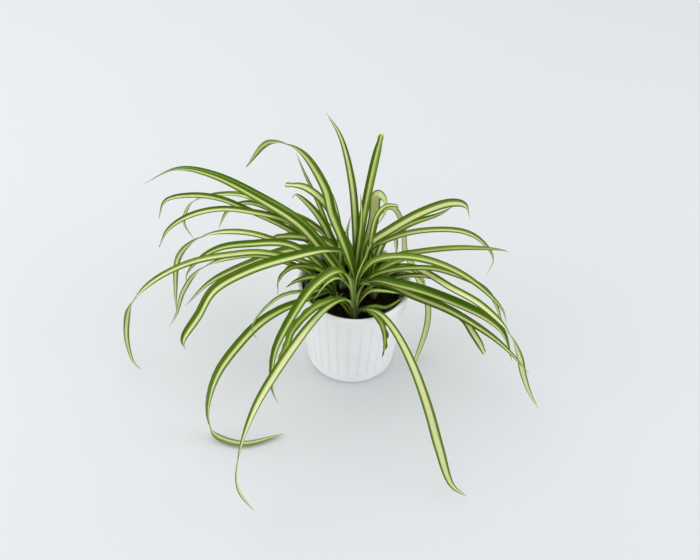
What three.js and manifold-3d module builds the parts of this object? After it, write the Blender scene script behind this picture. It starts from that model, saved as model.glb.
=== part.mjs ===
// Potted spider plant: striped arching leaves in a ribbed white cachepot.
// Millimetres, +Z up. The origin is the middle of the cachepot's base, on the table.
// -Y is the side towards the viewer, +X is the viewer's right.

import * as THREE from 'three';
import { mergeVertices } from 'three/addons/utils/BufferGeometryUtils.js';
import Module from 'manifold-3d';

const wasm = await Module();
wasm.setup();

// Gap between neighbouring pieces, and the distance within which corners are one corner
const SEAT_GAP = 0.3;
const MERGE_DISTANCE = 1e-4;

// Cachepot
const POT_HEIGHT = 132;
const POT_RIM_RADIUS = 70;
const POT_FOOT_RADIUS = 55.5;
const POT_WALL = 4.5;
const POT_FLOOR = 5;
const RIM_ROUND = 1.2;
const FOOT_ROUND = 7;
const FOOT_ARC_DEG = [0, 35, 65, 90];
const RIB_COUNT = 32;
const RIB_SHARE = 0.6;
const RIB_STEP_SHARE = 0.06;
const RIB_DEPTH = 0.8;
const RIB_BOTTOM = 15;
const RIB_TOP = 119;
const RIB_RAMP = 2;

// Nursery pot
const NURSERY_BOTTOM = POT_FLOOR + SEAT_GAP;
const NURSERY_TOP = 125;
const NURSERY_BASE_RADIUS = 42;
const NURSERY_TOP_RADIUS = 59.5;
const NURSERY_LIP_RADIUS = 61.5;
const NURSERY_LIP_HEIGHT = 6;
const NURSERY_WALL = 1.5;
const NURSERY_SIDES = 48;
const DRAIN_COUNT = 6;
const DRAIN_RADIUS = 4;
const DRAIN_CIRCLE = 28;
const DRAIN_LENGTH = 6;
const DRAIN_SIDES = 10;

// Soil
const SOIL_TOP = 102;
const SOIL_SIDES = 32;
const SOIL_RING_SHARES = [0.8, 0.6, 0.4, 0.2];
const SOIL_SWELL = 1.5;
const SOIL_WAVE_X = 9;
const SOIL_WAVE_Y = 11;
const HOLE_CLEARANCE = 0.5;
const HOLE_SIDES = 16;

// Crown: the clasped leaf bases that stand in the soil
const CROWN_RADIUS = 7.5;
const CROWN_FOOT_RADIUS = 4.5;
const CROWN_SHOULDER_RADIUS = 5.6;
const CROWN_BOTTOM = 74;
const CROWN_FULL_HEIGHT = 84;
const CROWN_SHOULDER = 108;
const CROWN_TOP = 119;
const CROWN_SIDES = 10;

// Leaf blades
const BLADE_THICKNESS = 0.8;
const BLADE_STEP = 30;
const BLADE_MIN_STEPS = 6;
const BLADE_MAX_STEPS = 14;
const ROOT_HEIGHT = 96;
const ROOT_REACH = 2;
const BASE_WIDTH_SHARE = 0.62;
const WIDEST_AT = 0.3;
const TAPER_POWER = 4;
const TIP_WIDTH_SHARE = 0.08;
const BASE_FOLD_DEG = 52;
const BLADE_FOLD_DEG = 18;
const UNFOLDED_AT = 0.35;
const TWIST_STARTS_AT = 0.3;

// Each shoot stands at [x, y]. Each leaf is
// [heading, width, roll, twist, [[reach, height, sideways], ...]]:
// heading and angles in degrees from +X, width at its widest, roll tips the whole blade,
// twist turns it further towards the tip, and the midrib runs through the listed places,
// reach out from the crown, height above the table, sideways to the left of the heading.
// A width may also be [width, widest at, taper power, tip width share], where a higher power
// keeps the blade broad for longer, and a twist may be [twist, starts at, ends at].
const SHOOTS = {
  shoot_front: { at: [2, -36], leaves: [
    [232, [13.5, 0.3, 2.1], -8, 10, [[8, 145], [18, 185], [40, 209], [79, 212], [115, 189],
      [140, 158], [146, 100], [135, 57]]],
    [217, [11, 0.3, 9], -12, 0, [[10, 128], [29, 149], [58, 153], [88, 131, -1], [98, 108, 0],
      [110, 86, -2]]],
    [244, [11.5, 0.55, 4], -5, [70, 0.45, 0.9], [[8, 128], [28, 158], [58, 172, -4], [103, 182, -4],
      [182, 171, -5], [214, 149, -8], [241, 86, -14], [247, 42, -10], [246, 12, 10]]],
    [205, [12.5, 0.3, 2.5], 0, 30, [[4, 140], [12, 164], [26, 178], [37, 174], [56, 149]]],
    [330, [8, 0.3, 4], 0, 20, [[4, 140], [7, 158, 6], [12, 158, 10], [13, 143, 14]]],
    [0, 7.5, 0, 0, [[4, 118, 4], [9, 132, 4], [18, 146, 3], [30, 151], [42, 152, -2], [53, 149, -1]]],
    [304, [12.5, 0.7, 2.5], 0, 20, [[8, 120], [45, 150, 2], [83, 155], [125, 137, -2],
      [161, 103, -3], [190, 62, -3], [219, 24, -1], [234, 8, 13]]],
    [308, [10.5, 0.3, 2.2], 0, 20, [[5, 115], [16, 126, 4], [37, 138, 2], [56, 138, -1],
      [64, 118, -2], [63, 90, -4]]],
    [0, 7, 15, 10, [[8, 114, 1], [23, 120, 4], [37, 124, -1], [46, 130, -1], [53, 134.5, 2],
      [58, 137, 6], [61, 137, 10]]],
    [150, 6, 0, 0, [[5, 108, 3], [15, 118, 3], [21, 122, 5]]],
  ] },
  shoot_middle: { at: [3, -11], leaves: [
    [344, [14, 0.3, 2.2], 12, 15, [[-4, 125], [8, 140], [35, 148], [74, 140], [118, 131],
      [171, 118, -10], [200, 111, -23], [227, 99, -37]]],
    [349, [14, 0.4, 3.5, 0.15], 15, 0, [[4, 125], [20, 148], [54, 153, -4], [89, 148, -3],
      [139, 134, -3], [165, 121, -2], [184, 103, -1], [203, 54]]],
    [341, [12, 0.7, 9, 0.5], 10, 20, [[6, 114], [22, 138, 4], [47, 141, 10], [77, 134, 14],
      [103, 126, 13], [133, 117, 13], [148, 105, 7], [161, 92, 3], [169, 81, 1]]],
    [356, [11.5, 0.3, 3], 15, 10, [[2, 135], [9, 160], [20, 177], [43, 187], [84, 186], [133, 164],
      [180, 118], [190, 90]]],
    [358, [8, 0.3, 7], 15, 10, [[6, 125], [16, 148], [39, 163], [74, 171], [98, 170], [149, 149],
      [168, 127], [190, 70]]],
    [155, [17, 0.3, 2], -18, 10, [[9, 131, 3], [19, 155, 9], [50, 180, 4], [80, 199], [137, 212, -4],
      [203, 220, -6], [259, 208, -8], [317, 163, -5]]],
    [140, 13, -15, [75, 0.45, 0.9], [[3, 120, -1], [4, 146, 1], [11, 180, 6], [25, 205, 6],
      [44, 226, 2], [63, 243, -8], [115, 265, -19], [167, 252, -19], [211, 191, -16]]],
    [40, 4.5, 0, 0, [[-8, 130, -8], [-10, 165, -12], [4, 188, -9], [20, 198]]],
  ] },
  shoot_left: { at: [-21, -8], leaves: [
    [177, 11, -20, 0, [[18, 155], [58, 189], [106, 185], [143, 174], [171, 150], [188, 120],
      [185, 96]]],
    [187, [10, 0.3, 7], -15, [100, 0.62, 0.9], [[22, 156], [87, 186], [128, 186, 1], [176, 173, -1],
      [223, 141, -4], [252, 104, -5], [263, 66, -11], [266, 38, -6], [260, 12, 8], [250, 4, 15]]],
    [184, 8.5, -15, [100, 0.48, 0.78], [[24, 142], [93, 178], [129, 174], [166, 154], [188, 119],
      [201, 76], [212, 54]]],
    [192, [9, 0.45, 2.2, 0.25], -20, 0, [[6, 135], [25, 161], [55, 167], [71, 149], [73, 123]]],
    [197, [10.5, 0.3, 3], -25, 10, [[8, 128], [28, 149], [50, 148], [65, 139]]],
    [222, [7.5, 0.3, 2, 0.2], -10, 20, [[6, 122, -4], [44, 146, 2], [77, 169, 8], [103, 180, 14],
      [130, 178, 20], [143, 169, 23], [145, 163, 27], [144, 157, 33]]],
    [226, [12.5, 0.3, 5], -10, [45, 0.35, 0.95], [[6, 120], [30, 132], [65, 146, 4], [97, 155, 5],
      [128, 158, 7], [160, 150, 10], [189, 122, 7], [203, 72, 1], [205, 32, 1], [198, 7, 3],
      [181, 4.5, 31], [134, 4.5, 55]]],
  ] },
  shoot_back_left: { at: [-17, 15], leaves: [
    [161, [9, 0.3, 4, 0.2], -15, [-60, 0.55, 0.95], [[20, 148], [69, 175], [123, 188], [164, 194],
      [206, 186], [243, 165], [257, 128]]],
    [147, [9, 0.3, 5], -15, [60, 0.7, 0.95], [[6, 150], [18, 172], [48, 185], [110, 180], [158, 175],
      [219, 142], [251, 112], [265, 71, 2], [246, 52, 3]]],
    [168, [9.5, 0.3, 4, 0.2], -15, [-60, 0.55, 0.95], [[20, 155], [66, 195], [117, 200], [155, 195],
      [196, 175], [228, 144], [244, 109]]],
    [147, [8.5, 0.3, 5], -15, [-60, 0.6, 0.95], [[30, 145], [87, 171], [120, 174], [150, 166],
      [183, 136], [202, 96]]],
    [180, 9.5, -10, [100, 0.45, 0.75], [[25, 140], [95, 182], [136, 187], [173, 175], [201, 143],
      [211, 83], [213, 39]]],
    [190, [12.5, 0.3, 3], -15, 0, [[4, 135], [27, 167], [64, 173], [111, 156], [161, 129], [197, 88]]],
    [200, [13, 0.55, 9], 10, [-30, 0.2, 0.5], [[-7, 119, 4], [-8, 143, 8], [-3, 162, 10],
      [4, 173, 9], [18, 184, 15], [33, 191, 19], [69, 189, 18], [116, 181, 17], [161, 158, 15],
      [183, 120, 15], [205, 79, 13], [203, 62, 13]]],
    [170, [12, 0.3, 5], -30, 0, [[2, 146], [15, 173], [46, 177], [77, 172], [98, 161]]],
    [150, [10, 0.3, 9, 0.5], -25, -20, [[2, 150], [9, 204], [28, 230], [54, 240], [84, 231]]],
    [145, [11, 0.3, 5], -20, 20, [[3, 140], [17, 173], [42, 204], [73, 216], [79, 206]]],
    [120, 6, 0, 0, [[3, 150], [7, 194], [28, 230], [44, 237]]],
  ] },
  shoot_back: { at: [3, 27], leaves: [
    [120, [11.5, 0.3, 3], 0, 0, [[4, 120], [12, 190], [27, 248], [56, 290], [95, 302]]],
    [68, [11.5, 0.3, 14, 0.5], 0, 0, [[-5, 137], [3, 172], [17, 222], [34, 263], [53, 299]]],
    [140, [9, 0.25, 2.5], 0, 0, [[20, 128], [43, 148], [69, 191], [97, 232], [108, 251]]],
    [130, 7, 0, 0, [[5, 140, 6], [8, 185, 14], [11, 210, 6]]],
    [65, [14.5, 0.3, 6], 0, 20, [[13, 130, -2], [32, 185, -4], [39, 219, -3], [44, 212, -9],
      [41, 196, -13], [27, 180, -10]]],
    [80, 6, 0, 0, [[-6, 140], [-15, 228, -4], [-10, 256]]],
    [92, 11, 0, 10, [[10, 125], [40, 147], [85, 145], [120, 110], [138, 55]]],
    [114, 9, 10, 20, [[8, 120], [36, 140], [75, 137], [106, 104], [118, 60]]],
  ] },
  shoot_back_right: { at: [20, 20], leaves: [
    [30, [12.5, 0.5, 5, 0.25], 15, 30, [[-6, 130], [-4, 176], [23, 189], [64, 201], [107, 202],
      [131, 190], [142, 165]]],
    [35, [10, 0.3, 4], 15, 0, [[-6, 125], [-4, 168], [25, 177], [54, 183], [100, 180], [123, 184]]],
    [18, [8.5, 0.3, 7, 0.3], 15, 20, [[-6, 130], [-4, 165], [22, 179], [60, 184], [114, 173],
      [143, 152], [167, 112], [161, 86]]],
    [6, [9, 0.3, 4], 15, 0, [[8, 125], [29, 153], [59, 161], [108, 166], [159, 162], [172, 158]]],
    [50, [8.5, 0.3, 12, 0.5], 0, 60, [[27, 140, 26], [50, 180, 30], [59, 187, 21], [63, 172, 9],
      [61, 152, 0], [57, 133, -7], [61, 108, -21], [61, 64, -50], [51, 36, -60], [28, 16, -69],
      [2, 6, -78]]],
    [58, 6.5, 0, 60, [[-2, 150], [-4, 193], [5, 218], [22, 220], [42, 210, -4], [55, 196],
      [50, 189, 2]]],
    [72, 10, 0, 15, [[9, 118], [34, 138], [72, 134], [104, 98], [120, 50]]],
  ] },
  shoot_right: { at: [26, 1], leaves: [
    [337, [12, 0.3, 5], 12, [-100, 0.5, 0.85], [[4, 125, 4], [14, 149, 10], [44, 162, 12],
      [66, 162, 9], [92, 159, 4], [133, 151, 1], [171, 127, -1], [192, 92], [203, 62, -1],
      [217, 34, -2], [233, 12, -2]]],
    [350, 8, 12, 10, [[8, 126], [33, 147], [70, 153, 1], [93, 141], [132, 123], [160, 96]]],
    [5, 8, 10, 30, [[6, 128], [23, 144, 3], [42, 143, 4], [60, 131], [63, 122]]],
    [15, 11, 12, 0, [[-6, 122], [2, 145], [19, 157], [42, 163]]],
  ] },
};

const MATERIALS = {
  glaze: new THREE.MeshStandardMaterial({ color: 0xecedee, roughness: 0.35, metalness: 0 }),
  plastic: new THREE.MeshStandardMaterial({ color: 0x1b1c1d, roughness: 0.6, metalness: 0 }),
  soil: new THREE.MeshStandardMaterial({ color: 0x2e2119, roughness: 0.95, metalness: 0 }),
  leaf: new THREE.MeshStandardMaterial({ color: 0x7f9a45, roughness: 0.5, metalness: 0 }),
};

// Solids for joining and cutting
function toSolid(geometry) {
  geometry.deleteAttribute('normal');
  geometry.deleteAttribute('uv');
  const merged = mergeVertices(geometry, MERGE_DISTANCE);
  return new wasm.Manifold(new wasm.Mesh({
    numProp: 3,
    vertProperties: new Float32Array(merged.attributes.position.array),
    triVerts: new Uint32Array(merged.index.array),
  }));
}

function toGeometry(solid) {
  const mesh = solid.getMesh();
  const geometry = new THREE.BufferGeometry();
  geometry.setAttribute('position', new THREE.BufferAttribute(mesh.vertProperties, 3));
  geometry.setIndex(new THREE.BufferAttribute(mesh.triVerts, 1));
  return geometry.toNonIndexed();
}

// Keeps only the outer skin: hollows that joining sealed are filled and loose scraps dropped
function outerSkin(solid) {
  const { vertProperties, triVerts } = solid.getMesh();
  const parent = Array.from({ length: vertProperties.length / 3 }, (_, k) => k);
  const find = (k) => {
    let root = k;
    while (parent[root] !== root) {
      parent[root] = parent[parent[root]];
      root = parent[root];
    }
    return root;
  };
  for (let t = 0; t < triVerts.length; t += 3) {
    parent[find(triVerts[t])] = find(triVerts[t + 1]);
    parent[find(triVerts[t + 1])] = find(triVerts[t + 2]);
  }
  const corner = (k) => new THREE.Vector3().fromArray(vertProperties, 3 * triVerts[k]);
  const volumes = new Map();
  for (let t = 0; t < triVerts.length; t += 3) {
    const shell = find(triVerts[t]);
    const sixth = corner(t).dot(corner(t + 1).cross(corner(t + 2)));
    volumes.set(shell, (volumes.get(shell) ?? 0) + sixth);
  }
  const [outer] = [...volumes].reduce((best, item) => (item[1] > best[1] ? item : best));
  const kept = triVerts.filter((vertex) => find(vertex) === outer);
  return new wasm.Manifold(new wasm.Mesh({ numProp: 3, vertProperties, triVerts: kept }));
}

// A closed turned piece from [radius, height] points that start and end on the axis, bottom first
function turned(profile, sides) {
  const points = profile.map(([radius, height]) => new THREE.Vector2(radius, height));
  return new THREE.LatheGeometry(points, sides).rotateX(Math.PI / 2);
}

function namedMesh(name, geometry, material) {
  geometry.computeVertexNormals();
  const mesh = new THREE.Mesh(geometry, material);
  mesh.name = name;
  return mesh;
}

// Rings of points joined into one closed skin, with a fan at each end
function skinOfRings(rings) {
  const count = rings[0].length;
  const positions = rings.flat().flatMap((p) => [p.x, p.y, p.z]);
  const index = [];
  for (let r = 0; r + 1 < rings.length; r += 1) {
    for (let k = 0; k < count; k += 1) {
      const next = (k + 1) % count;
      const [a, b, c, d] = [r * count + k, r * count + next, (r + 1) * count + k, (r + 1) * count + next];
      index.push(a, b, d, a, d, c);
    }
  }
  const last = (rings.length - 1) * count;
  for (let k = 1; k + 1 < count; k += 1) {
    index.push(0, k + 1, k, last, last + k, last + k + 1);
  }
  const geometry = new THREE.BufferGeometry();
  geometry.setAttribute('position', new THREE.Float32BufferAttribute(positions, 3));
  geometry.setIndex(index);
  return geometry;
}

// Cachepot: a straight-sided cup with shallow flat ribs between two plain bands
function potOuterRadius(height) {
  return THREE.MathUtils.lerp(POT_FOOT_RADIUS, POT_RIM_RADIUS, height / POT_HEIGHT);
}

function ribRing(radius, height, depth) {
  const ring = [];
  const pitch = (2 * Math.PI) / RIB_COUNT;
  const corners = [
    [0, 0],
    [RIB_SHARE, 0],
    [RIB_SHARE + RIB_STEP_SHARE, depth],
    [1 - RIB_STEP_SHARE, depth],
  ];
  for (let rib = 0; rib < RIB_COUNT; rib += 1) {
    for (const [share, inset] of corners) {
      const angle = (rib + share) * pitch;
      const r = radius - inset;
      ring.push(new THREE.Vector3(r * Math.cos(angle), r * Math.sin(angle), height));
    }
  }
  return ring;
}

// One ring of the rounded foot, from the base at 0 degrees to the wall at 90
function footRing(degrees) {
  const angle = THREE.MathUtils.degToRad(degrees);
  const inset = FOOT_ROUND * (1 - Math.sin(angle));
  return ribRing(potOuterRadius(FOOT_ROUND) - inset, FOOT_ROUND * (1 - Math.cos(angle)), 0);
}

function buildPot() {
  const outer = (height, depth = 0) => ribRing(potOuterRadius(height), height, depth);
  const inner = (height) => ribRing(potOuterRadius(height) - POT_WALL, height, 0);
  const rings = [
    ...FOOT_ARC_DEG.map(footRing),
    outer(RIB_BOTTOM),
    outer(RIB_BOTTOM + RIB_RAMP, RIB_DEPTH),
    outer(RIB_TOP - RIB_RAMP, RIB_DEPTH),
    outer(RIB_TOP),
    outer(POT_HEIGHT - RIM_ROUND),
    ribRing(POT_RIM_RADIUS - RIM_ROUND, POT_HEIGHT, 0),
    ribRing(POT_RIM_RADIUS - POT_WALL + RIM_ROUND, POT_HEIGHT, 0),
    inner(POT_HEIGHT - RIM_ROUND),
    inner(POT_FLOOR),
  ];
  return namedMesh('pot', toGeometry(toSolid(skinOfRings(rings))), MATERIALS.glaze);
}

// Nursery pot: a thin flared shell with a rolled lip and drain holes
function nurseryOuterRadius(height) {
  const share = (height - NURSERY_BOTTOM) / (NURSERY_TOP - NURSERY_BOTTOM);
  return THREE.MathUtils.lerp(NURSERY_BASE_RADIUS, NURSERY_TOP_RADIUS, share);
}

function buildNurseryPot() {
  const lipBottom = NURSERY_TOP - NURSERY_LIP_HEIGHT;
  const floorTop = NURSERY_BOTTOM + NURSERY_WALL;
  let solid = toSolid(turned([
    [0, NURSERY_BOTTOM],
    [NURSERY_BASE_RADIUS, NURSERY_BOTTOM],
    [nurseryOuterRadius(lipBottom), lipBottom],
    [NURSERY_LIP_RADIUS, lipBottom],
    [NURSERY_LIP_RADIUS, NURSERY_TOP],
    [NURSERY_TOP_RADIUS - NURSERY_WALL, NURSERY_TOP],
    [nurseryOuterRadius(floorTop) - NURSERY_WALL, floorTop],
    [0, floorTop],
  ], NURSERY_SIDES));
  for (let k = 0; k < DRAIN_COUNT; k += 1) {
    const angle = (k * 2 * Math.PI) / DRAIN_COUNT;
    const drain = new THREE.CylinderGeometry(DRAIN_RADIUS, DRAIN_RADIUS, DRAIN_LENGTH, DRAIN_SIDES)
      .rotateX(Math.PI / 2)
      .translate(DRAIN_CIRCLE * Math.cos(angle), DRAIN_CIRCLE * Math.sin(angle), NURSERY_BOTTOM);
    solid = solid.subtract(toSolid(drain));
  }
  return namedMesh('nursery_pot', toGeometry(solid), MATERIALS.plastic);
}

// Soil: fills the nursery pot, a little uneven on top, with a plain hole for each crown
function soilTopHeight(x, y) {
  return SOIL_TOP + SOIL_SWELL * Math.sin(x / SOIL_WAVE_X + 1) * Math.cos(y / SOIL_WAVE_Y);
}

function buildSoil() {
  const bottom = NURSERY_BOTTOM + NURSERY_WALL + SEAT_GAP;
  const radiusAt = (height) => nurseryOuterRadius(height) - NURSERY_WALL - SEAT_GAP;
  const ring = (radius, height) => Array.from({ length: SOIL_SIDES }, (_, k) => {
    const angle = (k * 2 * Math.PI) / SOIL_SIDES;
    const [x, y] = [radius * Math.cos(angle), radius * Math.sin(angle)];
    return new THREE.Vector3(x, y, height ?? soilTopHeight(x, y));
  });
  const edge = radiusAt(SOIL_TOP) - SOIL_SWELL;
  const rings = [ring(radiusAt(bottom), bottom), ring(edge)];
  for (const share of SOIL_RING_SHARES) {
    rings.push(ring(edge * share));
  }
  let solid = toSolid(skinOfRings(rings));
  const holeRadius = CROWN_RADIUS + HOLE_CLEARANCE;
  const holeBottom = CROWN_BOTTOM - SEAT_GAP;
  const holeDepth = SOIL_TOP + 2 * SOIL_SWELL - holeBottom;
  for (const { at: [x, y] } of Object.values(SHOOTS)) {
    const hole = new THREE.CylinderGeometry(holeRadius, holeRadius, holeDepth, HOLE_SIDES)
      .rotateX(Math.PI / 2)
      .translate(x, y, holeBottom + holeDepth / 2);
    solid = solid.subtract(toSolid(hole));
  }
  return namedMesh('soil', toGeometry(solid), MATERIALS.soil);
}

// Leaf blades: a thin gutter-shaped strap swept along the midrib
function bladeWidth(share, shape) {
  const [width, widest = WIDEST_AT, power = TAPER_POWER, tip = TIP_WIDTH_SHARE] = [shape].flat();
  const opening = THREE.MathUtils.smoothstep(share, 0, widest);
  const base = THREE.MathUtils.lerp(BASE_WIDTH_SHARE, 1, opening);
  const past = Math.max(0, (share - widest) / (1 - widest));
  return width * Math.max(tip, base * (1 - past ** power));
}

function bladeTurn(share, roll, turning) {
  const [twist, start = TWIST_STARTS_AT, end = 1] = [turning].flat();
  return THREE.MathUtils.degToRad(roll + twist * THREE.MathUtils.smoothstep(share, start, end));
}

function bladeFold(share) {
  const opening = THREE.MathUtils.smoothstep(share, 0, UNFOLDED_AT);
  return THREE.MathUtils.degToRad(THREE.MathUtils.lerp(BASE_FOLD_DEG, BLADE_FOLD_DEG, opening));
}

function midrib(at, heading, places) {
  const angle = THREE.MathUtils.degToRad(heading);
  const out = new THREE.Vector3(Math.cos(angle), Math.sin(angle), 0);
  const left = new THREE.Vector3(-out.y, out.x, 0);
  const points = [[ROOT_REACH, ROOT_HEIGHT], ...places].map(([reach, height, sideways = 0]) => (
    new THREE.Vector3(at[0], at[1], height).addScaledVector(out, reach).addScaledVector(left, sideways)
  ));
  return { curve: new THREE.CatmullRomCurve3(points, false, 'centripetal'), left };
}

function buildBlade(at, [heading, width, roll, twist, places]) {
  const { curve, left } = midrib(at, heading, places);
  const wanted = Math.round(curve.getLength() / BLADE_STEP);
  const steps = THREE.MathUtils.clamp(wanted, BLADE_MIN_STEPS, BLADE_MAX_STEPS);
  const side = left.clone();
  const rings = [];
  for (let step = 0; step <= steps; step += 1) {
    const share = step / steps;
    const middle = curve.getPointAt(share);
    const along = curve.getTangentAt(share);
    side.addScaledVector(along, -side.dot(along)).normalize();
    const across = side.clone().applyAxisAngle(along, bladeTurn(share, roll, twist));
    const up = along.clone().cross(across);
    const half = bladeWidth(share, width) / 2;
    const fold = bladeFold(share);
    const edge = (sign) => middle.clone()
      .addScaledVector(across, sign * half * Math.cos(fold))
      .addScaledVector(up, half * Math.sin(fold));
    const top = [edge(1), middle, edge(-1)];
    const under = top.map((p) => p.clone().addScaledVector(up, -BLADE_THICKNESS)).reverse();
    rings.push([...top, ...under]);
  }
  return toSolid(bladeSkin(rings));
}

// Both faces of a blade are split along the same diagonals
function bladeSkin(rings) {
  const positions = rings.flat().flatMap((p) => [p.x, p.y, p.z]);
  const index = [];
  const quad = (a, b, c, d) => index.push(a, b, c, a, c, d);
  for (let r = 0; r + 1 < rings.length; r += 1) {
    const [near, far] = [r * 6, (r + 1) * 6];
    quad(near, near + 1, far + 1, far);
    quad(near + 1, near + 2, far + 2, far + 1);
    quad(near + 2, near + 3, far + 3, far + 2);
    index.push(near + 3, near + 4, far + 3, near + 4, far + 4, far + 3);
    index.push(near + 4, near + 5, far + 4, near + 5, far + 5, far + 4);
    quad(near + 5, near, far, far + 5);
  }
  const last = (rings.length - 1) * 6;
  const cap = (first, flip) => {
    for (const [a, b, c] of [[0, 5, 4], [0, 4, 1], [1, 4, 3], [1, 3, 2]]) {
      index.push(first + a, first + (flip ? c : b), first + (flip ? b : c));
    }
  };
  cap(0, false);
  cap(last, true);
  const geometry = new THREE.BufferGeometry();
  geometry.setAttribute('position', new THREE.Float32BufferAttribute(positions, 3));
  geometry.setIndex(index);
  return geometry;
}

function buildCrown([x, y]) {
  return toSolid(turned([
    [0, CROWN_BOTTOM],
    [CROWN_FOOT_RADIUS, CROWN_BOTTOM],
    [CROWN_RADIUS, CROWN_FULL_HEIGHT],
    [CROWN_RADIUS, SOIL_TOP],
    [CROWN_SHOULDER_RADIUS, CROWN_SHOULDER],
    [0, CROWN_TOP],
  ], CROWN_SIDES).translate(x, y, 0));
}

function buildShoot(name, { at, leaves }) {
  const solid = leaves.reduce((sum, leaf) => sum.add(buildBlade(at, leaf)), buildCrown(at));
  return namedMesh(name, toGeometry(outerSkin(solid)), MATERIALS.leaf);
}

const plant = new THREE.Group();
plant.add(buildPot(), buildNurseryPot(), buildSoil());
for (const [name, shoot] of Object.entries(SHOOTS)) {
  plant.add(buildShoot(name, shoot));
}

export default plant;
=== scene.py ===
# %% [markdown]
# # A potted spider plant
# A spider plant grows in rosettes: each crown sends out a spray of long strap leaves, green at both
# margins with a cream stripe between, which arch over and hang by their own weight. Seven crowns
# share one black nursery pot here, and that stands inside a ribbed white cachepot.
#
# The measured model holds the true sizes and places of ten pieces. This script keeps every one of
# those forms and gives it a finer surface: leaves swept along their midribs by Geometry Nodes,
# turned and ribbed pots, crumbs of soil, and materials written as plain expressions.

# %% Load the measured model
import math

import bpy
import numpy as np
from mathutils import Matrix, Vector


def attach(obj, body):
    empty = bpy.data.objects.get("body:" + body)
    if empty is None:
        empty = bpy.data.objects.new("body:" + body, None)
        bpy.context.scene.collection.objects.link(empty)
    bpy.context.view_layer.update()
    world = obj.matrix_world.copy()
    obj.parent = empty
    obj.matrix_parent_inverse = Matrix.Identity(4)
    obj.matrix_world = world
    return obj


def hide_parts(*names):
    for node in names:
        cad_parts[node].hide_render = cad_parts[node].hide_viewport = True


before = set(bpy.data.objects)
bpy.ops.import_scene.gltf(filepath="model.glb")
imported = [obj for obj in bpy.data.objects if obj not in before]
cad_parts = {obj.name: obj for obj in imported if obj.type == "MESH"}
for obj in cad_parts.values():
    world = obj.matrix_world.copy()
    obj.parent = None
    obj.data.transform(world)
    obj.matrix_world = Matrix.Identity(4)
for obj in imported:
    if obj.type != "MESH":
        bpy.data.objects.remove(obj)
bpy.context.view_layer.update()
MM = 0.001
print("pieces of the model:", ", ".join(sorted(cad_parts)))

# %% [markdown]
# ## Where the viewer stands
# The photo looks down on the plant at 44 degrees from a little over a metre away, through a 50 mm
# lens, with the camera tipped slightly to one side. A camera is turned by a matrix whose columns are
# its right, its up and its back, so the three directions are worked out first.

# %% Camera
AIM = Vector((-5.5, 0, 132)) * MM
DISTANCE = 1200 * MM
ELEVATION = math.radians(44)
ROLL = math.radians(3)
LENS = 50
SENSOR = 36


def place_camera():
    ahead = Vector((0, math.cos(ELEVATION), -math.sin(ELEVATION)))
    level_right = Vector((1, 0, 0))
    level_up = level_right.cross(ahead)
    right = level_right * math.cos(ROLL) + level_up * math.sin(ROLL)
    up = level_up * math.cos(ROLL) - level_right * math.sin(ROLL)
    data = bpy.data.cameras.new("viewpoint")
    data.lens = LENS
    data.sensor_width = SENSOR
    camera = bpy.data.objects.new("viewpoint", data)
    turn = Matrix((right, up, -ahead)).transposed()
    camera.matrix_world = Matrix.LocRotScale(AIM - ahead * DISTANCE, turn, None)
    bpy.context.collection.objects.link(camera)
    bpy.context.scene.camera = camera
    return camera


camera = place_camera()
print("camera stands", [round(value, 3) for value in camera.location], "m from the pot's foot")

# %% [markdown]
# ## Node trees written as arithmetic
# Both a material and a Geometry Nodes tree are networks of small nodes, and most of those nodes only
# add, multiply or compare. Wiring each one by hand hides the idea, so a small class wraps the output
# of a node and gives it the usual operators: `1 - mask` then adds its own Subtract node. Everything
# that isn't arithmetic comes from one method, which takes a node's type, its settings and its inputs.

# %% Plain operators on a node's output
class Wire:
    """The output of a node, which plain operators can work on."""

    def __init__(self, tree, socket):
        self.tree = tree
        self.socket = socket

    def __add__(self, other):
        return self.tree.maths("ADD", self, other)

    def __sub__(self, other):
        return self.tree.maths("SUBTRACT", self, other)

    def __rsub__(self, other):
        return self.tree.maths("SUBTRACT", other, self)

    def __mul__(self, other):
        return self.tree.maths("MULTIPLY", self, other)

    def __truediv__(self, other):
        return self.tree.maths("DIVIDE", self, other)

    def __rtruediv__(self, other):
        return self.tree.maths("DIVIDE", other, self)

    def __pow__(self, power):
        return self.tree.maths("POWER", self, power)

    __radd__ = __add__
    __rmul__ = __mul__

    def also(self, name):
        """Another output of the same node."""
        return Wire(self.tree, self.socket.node.outputs[name])


# %% What a value is, and the stops of a colour ramp
def is_vector(value):
    if isinstance(value, Wire):
        return value.socket.type in ("VECTOR", "RGBA")
    return isinstance(value, tuple)


def set_stops(ramp, stops):
    """Gives a colour ramp its stops, each a place and a colour."""
    while len(ramp.elements) > 1:
        ramp.elements.remove(ramp.elements[-1])
    for number, (place, colour) in enumerate(stops):
        stop = ramp.elements[0] if number == 0 else ramp.elements.new(place)
        stop.position = place
        stop.color = colour


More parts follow.
